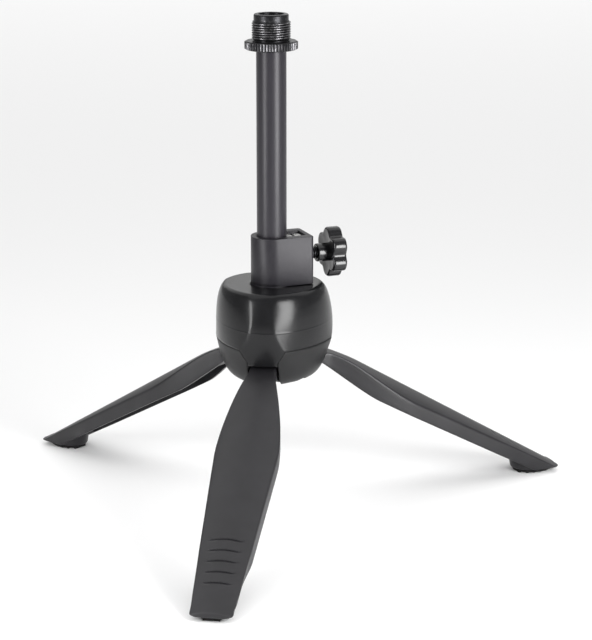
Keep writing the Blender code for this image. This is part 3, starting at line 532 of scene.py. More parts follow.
def hub_radius(z, from_leg):
    """Radius at a height and at an angle from the nearest leg."""
    lobe = lobe_radius(z)
    hollow = lobe - (LOBE + HOLLOW) * (1 - 0.5 * ease(from_waist(z)))
    half_side = SIXTH - strip_angle(z)
    # The side's arc has its centre beyond the axis.
    centre = (lobe**2 - hollow**2) / (2 * (lobe * math.cos(half_side) - hollow))
    across = SIXTH - abs(from_leg)
    side = centre * math.cos(across) + math.sqrt((hollow - centre) ** 2 - (centre * math.sin(across)) ** 2)
    blend = min(max(0.5 + 0.5 * (side - lobe) / CREASE, 0.0), 1.0)
    return side + (lobe - side) * blend - CREASE * blend * (1 - blend)


def hub_point(z, angle, leg):
    """A point on the hub, where the angle is counted from a leg's."""
    radius = hub_radius(z, (angle + SIXTH) % THIRD - SIXTH)
    return polar(radius, math.radians(leg) + angle, z)


def hole_edge(rim, radius):
    """Where a line from a point of the rim to the axis meets a round hole."""
    return radius * Vector((rim.x, rim.y, 0)).normalized() + Vector((0, 0, rim.z))


print(f"hub from {HUB_FOOT:.1f} to {HUB_TOP:.1f} mm, seam at {SEAM:.1f}, radius {lobe_radius(HUB_WAIST):.2f}")

# %% [markdown]
# ## The hub's cover
# The cover is drawn as a net of rows and columns: rows run round at one height, and columns stay at the same
# share of a strip or of a side, so the creases always have a column of their own. Below the seam only the
# strips' columns go on, and they become the tabs. Solidify gives the net its wall. A fine raised line round
# the widest ring is the witness mark of the mould; it needs a few rows close together.

# %% Cover
STRIP_COLUMNS = 14
SIDE_COLUMNS = 40
COLLAR_HOLE = 9.0
WITNESS = 0.05  # height of the mould's witness mark
WITNESS_HALF = 0.1
TOP_ROWS = 26
MARK_ROWS = (-0.24, -0.12, -0.06, 0.06, 0.12, 0.24)
HUB_EDGE = 0.22  # round of the shells' edges


def columns():
    """(leg angle, is it a strip's, share across it) for each column, once round."""
    for leg in LEGS.values():
        for i in range(STRIP_COLUMNS):
            yield leg, True, i / STRIP_COLUMNS
        for i in range(SIDE_COLUMNS):
            yield leg, False, i / SIDE_COLUMNS


def column_angle(z, is_strip, share):
    """Angle of a column from its leg, at a height."""
    half = strip_angle(z)
    if is_strip:
        return math.asin((2 * share - 1) * strip_half(z) / lobe_radius(z))
    return half + (THIRD - 2 * half) * share


def cover_rows():
    """Heights of the rows, from the top down to the seam, with the witness mark's rows among them."""
    rise = HUB_TOP - HUB_WAIST
    top = [HUB_WAIST + rise * math.sin(math.pi / 2 * (1 - i / TOP_ROWS)) for i in range(TOP_ROWS + 1)]
    below = spread(HUB_WAIST, SEAM + SHELL_GAP / 2, 14)[1:]
    mark = [HUB_WAIST + step for step in MARK_ROWS]
    return sorted([*top, *below, *mark], reverse=True)


def cover_skin():
    bm = bmesh.new()
    net = list(columns())
    rows = []
    for share in spread(0.0, 1.0, 7)[:-1]:
        row = []
        for leg, is_strip, place in net:
            rim = hub_point(HUB_TOP, column_angle(HUB_TOP, is_strip, place), leg)
            row.append(bm.verts.new(hole_edge(rim, COLLAR_HOLE).lerp(rim, share)))
        rows.append(row)
    for z in cover_rows():
        mark = WITNESS * math.exp(-(((z - HUB_WAIST) / WITNESS_HALF) ** 2))
        row = []
        for leg, is_strip, place in net:
            point = hub_point(z, column_angle(z, is_strip, place), leg)
            out = Vector((point.x, point.y, 0)).normalized()
            row.append(bm.verts.new(point + mark * out))
        rows.append(row)
    weave(bm, rows)
    # The tabs go on from the last row.
    for first in range(0, len(net), STRIP_COLUMNS + SIDE_COLUMNS):
        leg = net[first][0]
        tab = [rows[-1][first : first + STRIP_COLUMNS + 1]]
        for z in [*spread(SEAM, SEAM - TAB_SLOPE, 8), *spread(SEAM - TAB_SLOPE, TAB_FOOT, 2)[1:]]:
            strip = [column_angle(z, True, i / STRIP_COLUMNS) for i in range(STRIP_COLUMNS + 1)]
            tab.append([bm.verts.new(hub_point(z, angle, leg)) for angle in strip])
        weave(bm, tab, closed=False)
    return bm


def outward(bm):
    """Turns an open skin's faces away from the axis: the one furthest out decides."""
    bmesh.ops.recalc_face_normals(bm, faces=bm.faces)
    bm.faces.ensure_lookup_table()
    furthest = max(bm.faces, key=lambda face: face.calc_center_median().xy.length)
    centre = furthest.calc_center_median()
    if furthest.normal.xy.dot(centre.xy) < 0:
        bmesh.ops.reverse_faces(bm, faces=bm.faces)
    return bm


def shell(name, bm):
    """An open skin with a wall that grows inwards, and rounded edges."""
    obj = as_object(name, outward(bm), closed=False)
    modifier = obj.modifiers.new("wall", "SOLIDIFY")
    modifier.thickness = HUB_WALL
    modifier.offset = -1
    return rounded(apply_modifiers(obj), HUB_EDGE, angle=60, segments=2)


cover = shell("hub_cover", cover_skin())
piece(cover, "hub", hub_gloss, "hub_upper_plastic", "hub_upper_shell", sharp=50)

# %% [markdown]
# ## The hub's bowl
# The bowl is the same surface below the seam, without the strips: each of its three walls runs from one leg's
# slot to the next, turns under, and goes on as the floor. The floor's columns follow the slots' straight
# sides as far as the slots go, and then close round the hole for the tube. The bearings inside are plain
# ribs, so they are added as bodies of their own.

# %% Bowl
SLOT_HALF = 6.5
SLOT_END = 12.0
FLOOR_HOLE = 8.0
YOKE_HALF = 8.7
YOKE_TOP = 69.3
SLOT_CORNER = math.atan2(SLOT_HALF, SLOT_END)
FLOOR_ROWS = 4  # of the floor, behind a slot's end
RIB_FOOT = HUB_FOOT + 0.4
SLEEVE_RADIUS = 9.8
SCREW_RING = HUB_RADIUS - 9.7
SCREW_SEAT = HUB_FOOT + 4.5  # so deep that the heads stay inside the rounded foot
SCREW_HOLE = 1.75
COUNTERBORE = 2.9
EAR = [(9.0, 58.4), (13.4, 58.4), (15.0, 60.0), (18.4, 64.6), (19.4, YOKE_TOP), (9.0, YOKE_TOP)]


def side_angles(side_edge):
    """Angles of a wall's columns, where the slots' edges are at an angle from their legs."""
    span = THIRD - 2 * side_edge
    return [side_edge + span * i / SIDE_COLUMNS for i in range(SIDE_COLUMNS + 1)]


def bowl_skin():
    bm = bmesh.new()
    corner_radius = math.hypot(SLOT_HALF, SLOT_END)
    edge = lobe_radius(HUB_FOOT)
    turn_in = (edge - corner_radius) / (edge - FLOOR_HOLE)
    floor = [*spread(0.0, turn_in, 3)[1:], *spread(turn_in, 1.0, FLOOR_ROWS)[1:]]
    heights = [HUB_WAIST - (HUB_WAIST - HUB_FOOT) * math.sin(a) for a in spread(0.335, math.pi / 2, 24)]
    heights = [SEAM - SHELL_GAP / 2, *(z for z in heights if z < SEAM - SHELL_GAP)]
    inner = {}
    for leg in LEGS.values():
        rows = []
        for z in heights:
            side_edge = math.asin(max(strip_half(z) + SHELL_GAP, SLOT_HALF) / lobe_radius(z))
            rows.append([bm.verts.new(hub_point(z, a, leg)) for a in side_angles(side_edge)])
        for share in floor:
            at_edge = edge + (FLOOR_HOLE - edge) * share
            side_edge = math.asin(min(SLOT_HALF / at_edge, 1.0)) if share <= turn_in else SLOT_CORNER
            rims = [hub_point(HUB_FOOT, angle, leg) for angle in side_angles(min(side_edge, SLOT_CORNER))]
            rows.append([bm.verts.new(rim.lerp(hole_edge(rim, FLOOR_HOLE), share)) for rim in rims])
        weave(bm, rows, closed=False)
        inner[leg] = rows[-FLOOR_ROWS - 1 :]
    # Behind each slot's end the floor is whole: its columns join the walls' on either side.
    order = list(LEGS.values())
    for k, leg in enumerate(order):
        left_rows, right_rows = inner[order[k - 1]], inner[leg]
        strips = []
        for step, (before, after) in enumerate(zip(left_rows, right_rows)):
            row = [before[-1]]
            for i in range(1, STRIP_COLUMNS):
                angle = SLOT_CORNER * (2 * i / STRIP_COLUMNS - 1)
                line = SLOT_END / math.cos(angle)
                radius = line + (FLOOR_HOLE - line) * step / FLOOR_ROWS
                row.append(bm.verts.new(polar(radius, math.radians(leg) + angle, HUB_FOOT)))
            strips.append([*row, after[0]])
        weave(bm, strips, closed=False)
    return bm


def screw_places():
    return [turn(angle) @ Vector((SCREW_RING, 0, 0)) for angle in (60, 180, 300)]


def bearing_bodies():
    """Two ears and an end wall for each leg, the sleeve round the tube, and the screws' bosses."""
    ends = [(SLEEVE_RADIUS, RIB_FOOT), (SLEEVE_RADIUS, YOKE_TOP)]
    bodies = [turned([(FLOOR_HOLE, RIB_FOOT), *ends, (FLOOR_HOLE, YOKE_TOP)])]
    for leg in LEGS.values():
        for side in (-1, 1):
            sheets = [[Vector((x, side * y, z)) for x, z in EAR] for y in (SLOT_HALF, YOKE_HALF)]
            bodies.append(moved(skin(sheets), turn(leg)))
        wall = box_between((FLOOR_HOLE + 1.0, -YOKE_HALF, RIB_FOOT), (SLOT_END, YOKE_HALF, YOKE_TOP))
        bodies.append(moved(wall, turn(leg)))
    low, high = SCREW_SEAT, SEAM - 1
    boss = [(SCREW_HOLE, low), (3.5, low), (3.2, low + 3), (3.2, high), (SCREW_HOLE, high)]
    return bodies + at_screws(boss)


def at_screws(outline, ring=True):
    """A turned body at each of the three screws."""
    return [moved(turned(outline, 48, ring), Matrix.Translation(place)) for place in screw_places()]


bowl = shell("hub_bowl", bowl_skin())
cut(bowl, *at_screws([(COUNTERBORE, HUB_FOOT - 7), (COUNTERBORE, SCREW_SEAT)], ring=False))
join_bodies(bowl, *bearing_bodies())
piece(bowl, "hub", bowl_satin, "hub_lower_plastic", "hub_lower_shell", sharp=50)

# %% [markdown]
# ## A leg's lines
# A leg is one long moulded arch. Four lines along its length give the shape: its ridge, its half width, how
# far the ridge stands over its edges, and how deep its sides are. Each line is a function of the distance
# from the tube's axis, so the leg can be drawn with as many cross-sections as it needs.

# %% The leg's lines
LEG_REACH = cad("right_leg")[1].x
PAD_TOP = cad("right_foot_pad")[1].z
PIVOT = Vector((16.2, 0, 62.2))
ROOT_RADIUS = 3.6
ROOT_HALF = 5.45
WIDE_HALF = 12.9
TIP_HALF = 8.3
NECK_AT, KNEE_AT, DEEP_AT, WIDE_AT = 24.2, 27.5, 44.0, 60.0
KNEE_BEFORE, KNEE_AFTER = 8.5, 12.75  # how far the knee's round reaches
ROOT_DEPTH, DEPTH_GAIN, DEEPEST, HEEL_DEPTH = 4.3, 7.9, 12.2, 8.9
HEEL_AT = LEG_REACH - 25.8
HEEL_LENGTH = 6.3
FOOT_DRAFT = 1.6
CROWN = 5.0
NOSE_HEIGHT = 2.1
NOSE_CORNER = 1.7
TIP_CORNER = 3.0
FOOT_FLAT = PAD_TOP + SHELL_GAP
LEG_WALL = 1.9
LEG_ROOF = 2.1


def on_line(a, b, at):
    return a[1] + (b[1] - a[1]) * (at - a[0]) / (b[0] - a[0])


def ridge(at):
    """Almost level at the hinge, bent at the knee, then straight to the tip."""
    root = (PIVOT.x, PIVOT.z + ROOT_RADIUS)
    corner = (KNEE_AT, PIVOT.z + ROOT_RADIUS - 0.5)
    tip = (LEG_REACH - NOSE_CORNER, FOOT_FLAT + NOSE_HEIGHT)
    start, end = KNEE_AT - KNEE_BEFORE, KNEE_AT + KNEE_AFTER
    if at <= start:
        return on_line(root, corner, at)
    if at >= end:
        return on_line(corner, tip, at)
    a = start - 2 * KNEE_AT + end
    b = 2 * (KNEE_AT - start)
    t = (-b + math.sqrt(b * b - 4 * a * (start - at))) / (2 * a)
    first, last = on_line(root, corner, start), on_line(corner, tip, end)
    return (1 - t) ** 2 * first + 2 * t * (1 - t) * corner[1] + t * t * last


def into_nose(at):
    return min(max(at - (LEG_REACH - NOSE_CORNER), 0.0) / NOSE_CORNER, 1.0)


def top_line(at):
    if at < PIVOT.x:
        return PIVOT.z + math.sqrt(max(ROOT_RADIUS**2 - (at - PIVOT.x) ** 2, 0.0))
    return ridge(min(at, LEG_REACH - NOSE_CORNER)) - 0.45 * NOSE_HEIGHT * into_nose(at) ** 2


def half_width(at):
    if at < WIDE_AT:
        u = max((at - NECK_AT) / (WIDE_AT - NECK_AT), 0.0)
        return ROOT_HALF + (WIDE_HALF - ROOT_HALF) * math.sin(u * math.pi / 2) ** 1.15
    straight = on_line((WIDE_AT, WIDE_HALF), (LEG_REACH, TIP_HALF), at)
    into_corner = max(at - LEG_REACH + TIP_CORNER, 0.0) / TIP_CORNER
    return straight - TIP_CORNER * (1 - math.sqrt(1 - min(into_corner, 1.0) ** 2))


def crown(at):
    share = (half_width(at) ** 2 - ROOT_HALF**2) / (WIDE_HALF**2 - ROOT_HALF**2)
    return CROWN * max(share, 0.0)


def depth(at):
    root = PIVOT.x + ROOT_RADIUS
    if at < DEEP_AT:
        u = max((at - root) / (DEEP_AT - root), 0.0)
        return ROOT_DEPTH + DEPTH_GAIN * (1 - (1 - u) ** 1.9)
    return on_line((DEEP_AT, DEEPEST), (HEEL_AT, HEEL_DEPTH), at)


def draft(at):
    """How far the sides lean in at their lower edge, at the foot."""
    return FOOT_DRAFT * ease((at - HEEL_AT + HEEL_LENGTH) / (2 * HEEL_LENGTH))


def underside(at):
    along = ridge(at) - depth(at)
    if at < PIVOT.x + ROOT_RADIUS:
        round_end = PIVOT.z - math.sqrt(max(ROOT_RADIUS**2 - (at - PIVOT.x) ** 2, 0.0))
        return round_end if at < PIVOT.x else min(round_end, along)
    return max(along, FOOT_FLAT + 0.3 * NOSE_HEIGHT * into_nose(at) ** 2)


print(f"a leg reaches {LEG_REACH:.1f} mm, is {2 * WIDE_HALF:.1f} wide, and its pad is {PAD_TOP:.1f} high")

# %% [markdown]
# ## The leg's skin
# Each cross-section is one loop: up a side, over the arched top, down the other side, and back through the
# channel underneath. Where the leg is solid the channel's points simply lie in the underside, so all loops
# have the same number of points and can be joined. The rounds of the edges are short curves in the loop
# itself, because a Bevel would have to squeeze past the grooves. Each of the finger grooves near the foot
# drops at its edge towards the hub and then runs out flat, as a saw tooth does.

# %% Legs
GROOVES = 5
GROOVE_START = LEG_REACH - 31.9
GROOVE_PITCH = 4.45
GROOVE_HALF = 6.9
GROOVE_DEPTH = 0.75
GROOVE_LENGTH = 0.9
EDGE_ROUND = 0.85
LIP_ROUND = 0.4
ARCH_STEPS = 34
CHANNEL_STEPS = 12
PIN_HOLE = 1.6
CHANNEL_FROM = KNEE_AT - 1.0
BOSS_MIDDLE = LEG_REACH - 10.4
BOSS_HALF_LENGTH = 9.5
BOSS_HALF_WIDTH = 7.4
BOSS_LEAN = 2.6
BOSS_COVER = 1.3
CHANNEL_TO = HEEL_AT + 5.0


def groove(at, across):
    """How deep the top is cut at a place."""
    for i in range(GROOVES):
        past = at - GROOVE_START - i * GROOVE_PITCH
        half = GROOVE_HALF - 0.3 * i
        if 0 < past < GROOVE_LENGTH and abs(across) < half:
            return GROOVE_DEPTH * (1 - (across / half) ** 4) * (1 - past / GROOVE_LENGTH)
    return 0.0


def curve(start, corner, end, count=4):
    """Points of a short round from one line to another."""
    return [(1 - t) ** 2 * start + 2 * t * (1 - t) * corner + t * t * end for t in spread(0, 1, count)]


def leg_loop(at, channel):
    """One cross-section, with the channel open or closed."""
    half, top, low, arch = half_width(at), top_line(at), underside(at), crown(at)
    arch = min(arch, 0.75 * (top - low))
    flat = half - min(EDGE_ROUND, 0.3 * (top - arch - low))

    def over(y):
        return Vector((at, y, top - arch * (y / half) ** 2 - groove(at, y)))

    edge = Vector((at, half, top - arch))
    foot = Vector((at, half - draft(at), low))
    down = (foot - edge).normalized()
    shoulder = curve(edge + down * (half - flat), edge, over(flat))
    lip = curve(foot - Vector((0, LIP_ROUND, 0)), foot, foot - down * LIP_ROUND, 3)
    right = [*lip, *spread_points(lip[-1], shoulder[0], 4)[1:-1], *shoulder]
    arch_points = [over(flat * math.cos(math.pi * i / ARCH_STEPS)) for i in range(1, ARCH_STEPS)]
    inner_half = foot.y - LEG_WALL
    roof = top - LEG_ROOF if channel else low
    bow = arch * (inner_half / half) ** 2 if channel else 0.0
    wall = [Vector((at, -inner_half, low))]
    for i in range(CHANNEL_STEPS + 1):
        y = -inner_half * math.cos(math.pi * i / CHANNEL_STEPS)
        wall.append(Vector((at, y, max(roof - bow * (y / inner_half) ** 2, low))))
    wall.append(Vector((at, inner_half, low)))
    return [*right, *arch_points, *reversed([flipped(point) for point in right]), *wall]


def flipped(point):
    return Vector((point.x, -point.y, point.z))


def spread_points(a, b, count):
    return [a.lerp(b, i / count) for i in range(count + 1)]


def leg_stations():
    """(distance, is the channel open) for each cross-section."""
    root = [PIVOT.x - ROOT_RADIUS * math.cos(a) for a in spread(0.12, math.pi - 0.2, 18)]
    neck = spread(PIVOT.x + ROOT_RADIUS, DEEP_AT, 26)
    span = spread(DEEP_AT, HEEL_AT, 44)
    heel = spread(HEEL_AT, HEEL_AT + HEEL_LENGTH, 6)
    foot = spread(heel[-1], LEG_REACH - TIP_CORNER, 14)
    nose = [LEG_REACH - TIP_CORNER * (1 - math.sin(a)) for a in spread(0, math.pi / 2, 10)]
    teeth = []
    for i in range(GROOVES):
        start = GROOVE_START + i * GROOVE_PITCH
        teeth += [start - 0.02, start + 0.04, *(start + GROOVE_LENGTH * part for part in (0.3, 0.6, 1.0))]
    plain = [*root, *neck, *span, *heel, *foot, *nose]
    plain = [at for at in plain if all(abs(at - tooth) > 0.15 for tooth in teeth)]
    places = sorted({round(at, 4) for at in [*plain, *teeth]})
    spaced = [a for a, b in zip(places, places[1:]) if b - a > 0.03] + [places[-1]]
    ends = [(CHANNEL_FROM - 0.15, False), (CHANNEL_FROM + 0.15, True)]
    ends += [(CHANNEL_TO - 0.15, True), (CHANNEL_TO + 0.15, False)]
    clear = [at for at in spaced if all(abs(at - end) > 0.2 for end, _ in ends)]
    return sorted([*((at, CHANNEL_FROM < at < CHANNEL_TO) for at in clear), *ends])


def foot_boss():
    """The round heel under the foot: an oval that leans out towards the hub as it rises into the leg."""
    loops = []
    for up, inset in ((0.0, 0.8), (0.03, 0.25), (0.1, 0.0), (0.3, 0.0), (0.6, 0.0), (1.0, 0.0)):
        loop = []
        for point in circle(1.0, 0.0, 72):
            x = BOSS_MIDDLE + point.x * (BOSS_HALF_LENGTH - inset) + min(point.x, 0.0) * BOSS_LEAN * up
            y = point.y * (BOSS_HALF_WIDTH - inset)
            roof = top_line(x) - crown(x) * (y / half_width(x)) ** 2 - BOSS_COVER
            loop.append(Vector((x, y, FOOT_FLAT + up * max(roof - FOOT_FLAT, 0.05))))
        loops.append(loop)
    return skin(loops)


leg = as_object("leg", skin([leg_loop(at, channel) for at, channel in leg_stations()]))
pin_hole = turned([(PIN_HOLE, -YOKE_HALF), (PIN_HOLE, YOKE_HALF)], 48, ring=False)
cut(leg, moved(pin_hole, ALONG_Y, Matrix.Translation(PIVOT)))
join_bodies(leg, foot_boss())
on_each_leg(leg, "leg", leg_satin, "leg_plastic", "leg", sharp=40)

# %% [markdown]
# ## Foot pads by Geometry Nodes
# A rubber pad grips with small bars across its underside, each as long as the pad's oval is there. That is a
# rule, so Geometry Nodes make it: a line of points, one bar on each, and a width worked out from where the
# point is. The tree's inputs are its sizes. It ends in Realize Instances and Set Material, because instances
# don't survive the export, and the result is turned into a plain mesh before it rides on its leg.

# %% A helper for Geometry Nodes


class Growth(Graph):
    """A Geometry Nodes tree with named inputs, run once on an object and turned into a mesh."""

    def __init__(self, name, inputs):
        super().__init__(bpy.data.node_groups.new(name, "GeometryNodeTree"))
        self.name = name
        self.tree.interface.new_socket("Geometry", in_out="OUTPUT", socket_type="NodeSocketGeometry")
        self.values = inputs
        self.identifiers = {}
        for label, value in inputs.items():
            kind = "NodeSocketInt" if isinstance(value, int) else "NodeSocketFloat"
            socket = self.tree.interface.new_socket(label, in_out="INPUT", socket_type=kind)
            self.identifiers[label] = socket.identifier
        self.group = self.tree.nodes.new("NodeGroupInput")

    def __getitem__(self, label):
        return Signal(self, self.group.outputs[label])

    def here(self):
        """A point's own place, as three signals."""
        return self.split(self.node("GeometryNodeInputPosition"))

    def ring(self, count, radius):
        """Points round a circle, from the names of two inputs."""
        sockets = {"Vertices": self[count], "Radius": self[radius]}
        return self.node("GeometryNodeMeshCircle", {"fill_type": "NONE"}, sockets)

    def copies(self, points, instance, material, **sockets):
        """A copy of an instance on each point, as a plain mesh object."""
        sockets = {"Points": points, "Instance": instance, **sockets}
        return self.grow(self.node("GeometryNodeInstanceOnPoints", {}, sockets), material)

    def grow(self, geometry, material):
        """Ends the tree, runs it and returns a plain mesh object."""
        real = self.node("GeometryNodeRealizeInstances", {}, {0: geometry})
        painted = self.node("GeometryNodeSetMaterial", {}, {"Geometry": real, "Material": material})
        end = self.tree.nodes.new("NodeGroupOutput")
        self.tree.links.new(painted.socket, end.inputs[0])
        obj = placed(self.name, bpy.data.meshes.new(self.name))
        modifier = obj.modifiers.new("growth", "NODES")
        modifier.node_group = self.tree
        for label, value in self.values.items():
            modifier[self.identifiers[label]] = value
        return apply_modifiers(obj)


def xyz(graph, x=0.0, y=0.0, z=0.0):
    return graph.node("ShaderNodeCombineXYZ", {}, {"X": x, "Y": y, "Z": z})


# %% Pads
PAD_LOW, PAD_HIGH = cad("right_foot_pad")
PAD_MIDDLE = (PAD_LOW.x + PAD_HIGH.x) / 2
PAD_HALF_LENGTH = (PAD_HIGH.x - PAD_LOW.x) / 2
PAD_HALF_WIDTH = (PAD_HIGH.y - PAD_LOW.y) / 2
BAR_HEIGHT = 0.3
BAR_DEEP = BAR_HEIGHT + 0.2  # the bars' upper part is inside the pad
BARS_INSET = 1.6


def pad_body():
    """An oval with a rounded rim, that stops a bar's height above the floor."""
    loops = []
    for inset, z in ((0.7, BAR_HEIGHT), (0.15, 0.5), (0.0, 0.7), (0.0, PAD_TOP - 0.15), (0.15, PAD_TOP)):
        oval = Matrix.Diagonal((PAD_HALF_LENGTH - inset, PAD_HALF_WIDTH - inset, 1, 1))
        loops.append([Matrix.Translation((PAD_MIDDLE, 0, 0)) @ oval @ point for point in circle(1.0, z, 72)])
    return skin(loops)


def pad_bars():
    reach, half = PAD_HALF_LENGTH - BARS_INSET, PAD_HALF_WIDTH - 1.0
    tree = Growth("pad_bars", {"Bars": 6, "Reach": reach, "Half width": half, "Thickness": 1.1})
    ends = {"Start Location": xyz(tree, x=tree["Reach"] * -1.0), "Offset": xyz(tree, x=tree["Reach"])}
    line = tree.node("GeometryNodeMeshLine", {"mode": "END_POINTS"}, {"Count": tree["Bars"], **ends})
    away = tree.here()[0] / (tree["Reach"] + BARS_INSET)
    width = tree.maths("SQRT", 1.0 - away * away)
    bar_size = xyz(tree, tree["Thickness"], tree["Half width"] * 2.0, BAR_DEEP)
    bar = tree.node("GeometryNodeMeshCube", {}, {"Size": bar_size, "Vertices Y": 9})
    return tree.copies(line, bar, pad_rubber, Scale=xyz(tree, 1.0, width, 1.0))


bars = pad_bars()
bars.data.transform(Matrix.Translation((PAD_MIDDLE, 0, BAR_DEEP / 2)))
pad = join_bodies(as_object("pad", pad_body()), bars)
on_each_leg(pad, "foot_pad", pad_rubber, "pad_rubber", "foot_pad")

# %% [markdown]
# ## Collar and clamp
# The collar is a block with a round back, cut through for the tube. In its top is a pocket, where the clamp's
# nut stands on edge, with the shoe that presses on the tube beside it. The block is drawn as one outline and
# cut with three tools, and then a Bevel rounds what is left, so the pocket's rim gets its bright line too.

# %% Collar
COLLAR_LOW, COLLAR_HIGH = cad("clamp_collar")
COLLAR_FOOT = HUB_TOP + SHELL_GAP
TUBE_RADIUS = cad("centre_tube")[1].x
TUBE_BORE = TUBE_RADIUS - 1.0
COLLAR_BORE = TUBE_RADIUS + 0.1
COLLAR_RADIUS = COLLAR_HIGH.y
BLOCK_REACH = COLLAR_HIGH.x
BLOCK_CORNER = 1.3
NUT_LOW, NUT_HIGH = cad("clamp_nut")
SHOE_LOW, SHOE_HIGH = cad("clamp_pad")
STUD_LOW, STUD_HIGH = cad("thumbscrew_stud")
SCREW_HEIGHT = (STUD_LOW.z + STUD_HIGH.z) / 2
SCREW_RADIUS = (STUD_HIGH.z - STUD_LOW.z) / 2
SPIGOT_RADIUS = 8.7


def collar_outline(z):
    """A half circle behind the tube, and two rounded corners in front."""
    points = [polar(COLLAR_RADIUS, math.radians(a), z) for a in spread(90, 270, 48)]
    for side, first in ((-1, -90), (1, 0)):
        corner = Vector((BLOCK_REACH - BLOCK_CORNER, side * (COLLAR_RADIUS - BLOCK_CORNER), 0))
        points += [corner + polar(BLOCK_CORNER, math.radians(a), z) for a in spread(first, first + 90, 8)]
    return points


def along_screw(bm):
    return moved(bm, ALONG_X, Matrix.Translation((0, 0, SCREW_HEIGHT)))


collar = as_object("collar", skin([collar_outline(COLLAR_FOOT), collar_outline(COLLAR_HIGH.z)]))
cut(collar, turned([(COLLAR_BORE, COLLAR_FOOT - 5), (COLLAR_BORE, COLLAR_HIGH.z + 5)], FINE, ring=False))
pocket_low = (TUBE_RADIUS - 1, NUT_LOW.y - SHELL_GAP, NUT_LOW.z - SHELL_GAP)
cut(collar, box_between(pocket_low, (NUT_HIGH.x + SHELL_GAP, NUT_HIGH.y + SHELL_GAP, COLLAR_HIGH.z + 5)))
hole_radius = SCREW_RADIUS + SHELL_GAP
screw_hole = turned([(hole_radius, NUT_HIGH.x - 2), (hole_radius, BLOCK_REACH + 5)], 48, ring=False)
cut(collar, along_screw(screw_hole))
rounded(collar, 0.35, angle=40)
spigot_ends = [(SPIGOT_RADIUS, COLLAR_LOW.z), (SPIGOT_RADIUS, COLLAR_FOOT + 1)]
join_bodies(collar, turned([(COLLAR_BORE, COLLAR_LOW.z), *spigot_ends, (COLLAR_BORE, COLLAR_FOOT + 1)]))
piece(collar, "hub", collar_paint, "collar_paint", "clamp_collar", sharp=30)

# %% Nut and shoe


def plate(name, low, high, hole_to):
    """A plate in the pocket with a hole for the screw, from its back as deep as is asked."""
    made = as_object(name, box_between(low, high))
    hole = turned([(SCREW_RADIUS + 0.1, hole_to), (SCREW_RADIUS + 0.1, high.x + 1)], 48, ring=False)
    cut(made, along_screw(hole))
    return made


nut = plate("clamp_nut_plate", NUT_LOW, NUT_HIGH, NUT_LOW.x - 1)
piece(rounded(nut, 0.3), "hub", zinc, "nut_zinc", "clamp_nut")
shoe = plate("clamp_shoe", SHOE_LOW, SHOE_HIGH, SHOE_HIGH.x - 1.1)
hollow_radius = TUBE_RADIUS + SHELL_GAP
cut(shoe, turned([(hollow_radius, SHOE_LOW.z - 1), (hollow_radius, SHOE_HIGH.z + 1)], FINE, ring=False))
piece(rounded(shoe, 0.25), "clamp_pad", zinc, "clamp_zinc", "clamp_pad")

# %% [markdown]
# ## Threads by rule
# A screw thread is a cylinder whose radius rises and falls with height plus turn: add the share of a turn to
# the height in pitches, and the fraction that is left says where on the tooth a point is. The tree below
# bends a flat grid into that cylinder. It serves both the adapter's fine thread and the clamp screw's coarser
# one, with a flat on each crest and a run-out at each end, where a real tool leaves the metal.

# %% Thread tree
ROWS_PER_TURN = 14
RUN_OUT = 0.55  # turns over which a thread fades at its ends


def thread(name, crest, tooth, pitch, low, high, material, around=FINE, flat=0.18):
    """A threaded sleeve, closed on the inside, between two heights."""
    length = high - low
    tree = Growth(name, {"Crest": crest, "Tooth": tooth, "Pitch": pitch, "Length": length})
    rows = round(length / pitch * ROWS_PER_TURN)
    grid_sockets = {"Size X": 1.0, "Size Y": 1.0, "Vertices X": around + 1, "Vertices Y": rows + 3}
    grid = tree.node("GeometryNodeMeshGrid", {}, grid_sockets)
    across, along, _ = tree.here()
    turned_by = (across + 0.5) * math.tau
    # The first and the last row close the sleeve on the inside.
    row = (along + 0.5) * float(rows + 2) - 1.0
    inside = tree.maths("GREATER_THAN", 0.0, row + 0.5) + tree.maths("GREATER_THAN", row, rows + 0.5)
    share = tree.node("ShaderNodeMapRange", {}, {"Value": row, "From Min": 0.0, "From Max": float(rows)})
    height = share * tree["Length"]
    place = tree.maths("FRACT", height / tree["Pitch"] - (across + 0.5))
    slope = tree.maths("ABSOLUTE", place * 2.0 - 1.0)
    groove_share = slope.between(flat, 1.0 - flat * 0.6)
    from_end = tree.maths("MINIMUM", height, tree["Length"] - height)
    full = from_end.between(0.0, RUN_OUT * pitch)
    fall = tree["Tooth"] * (1.0 - full * (1.0 - groove_share))
    radius = tree["Crest"] - fall - inside * 2.0 * tree["Tooth"]
    x, y = (radius * tree.maths(function, turned_by) for function in ("COSINE", "SINE"))
    position = xyz(tree, x, y, height)
    bent = tree.node("GeometryNodeSetPosition", {}, {"Geometry": grid, "Position": position})
    closed = tree.node("GeometryNodeMergeByDistance", {}, {"Geometry": bent, "Distance": 0.001})
    obj = tree.grow(closed, material)
    obj.data.transform(Matrix.Translation((0, 0, low)))
    return obj


# %% [markdown]
# ## The tube and the thread adapter
# The adapter is one turned part: a hollow nose, the thread, a relief groove, a knurled flange, and a plug in
# the tube. A straight knurl is a row of equal ridges round a rim, which is Geometry Nodes' own kind of work:
# a circle of points, a ridge on each, turned to face outwards.

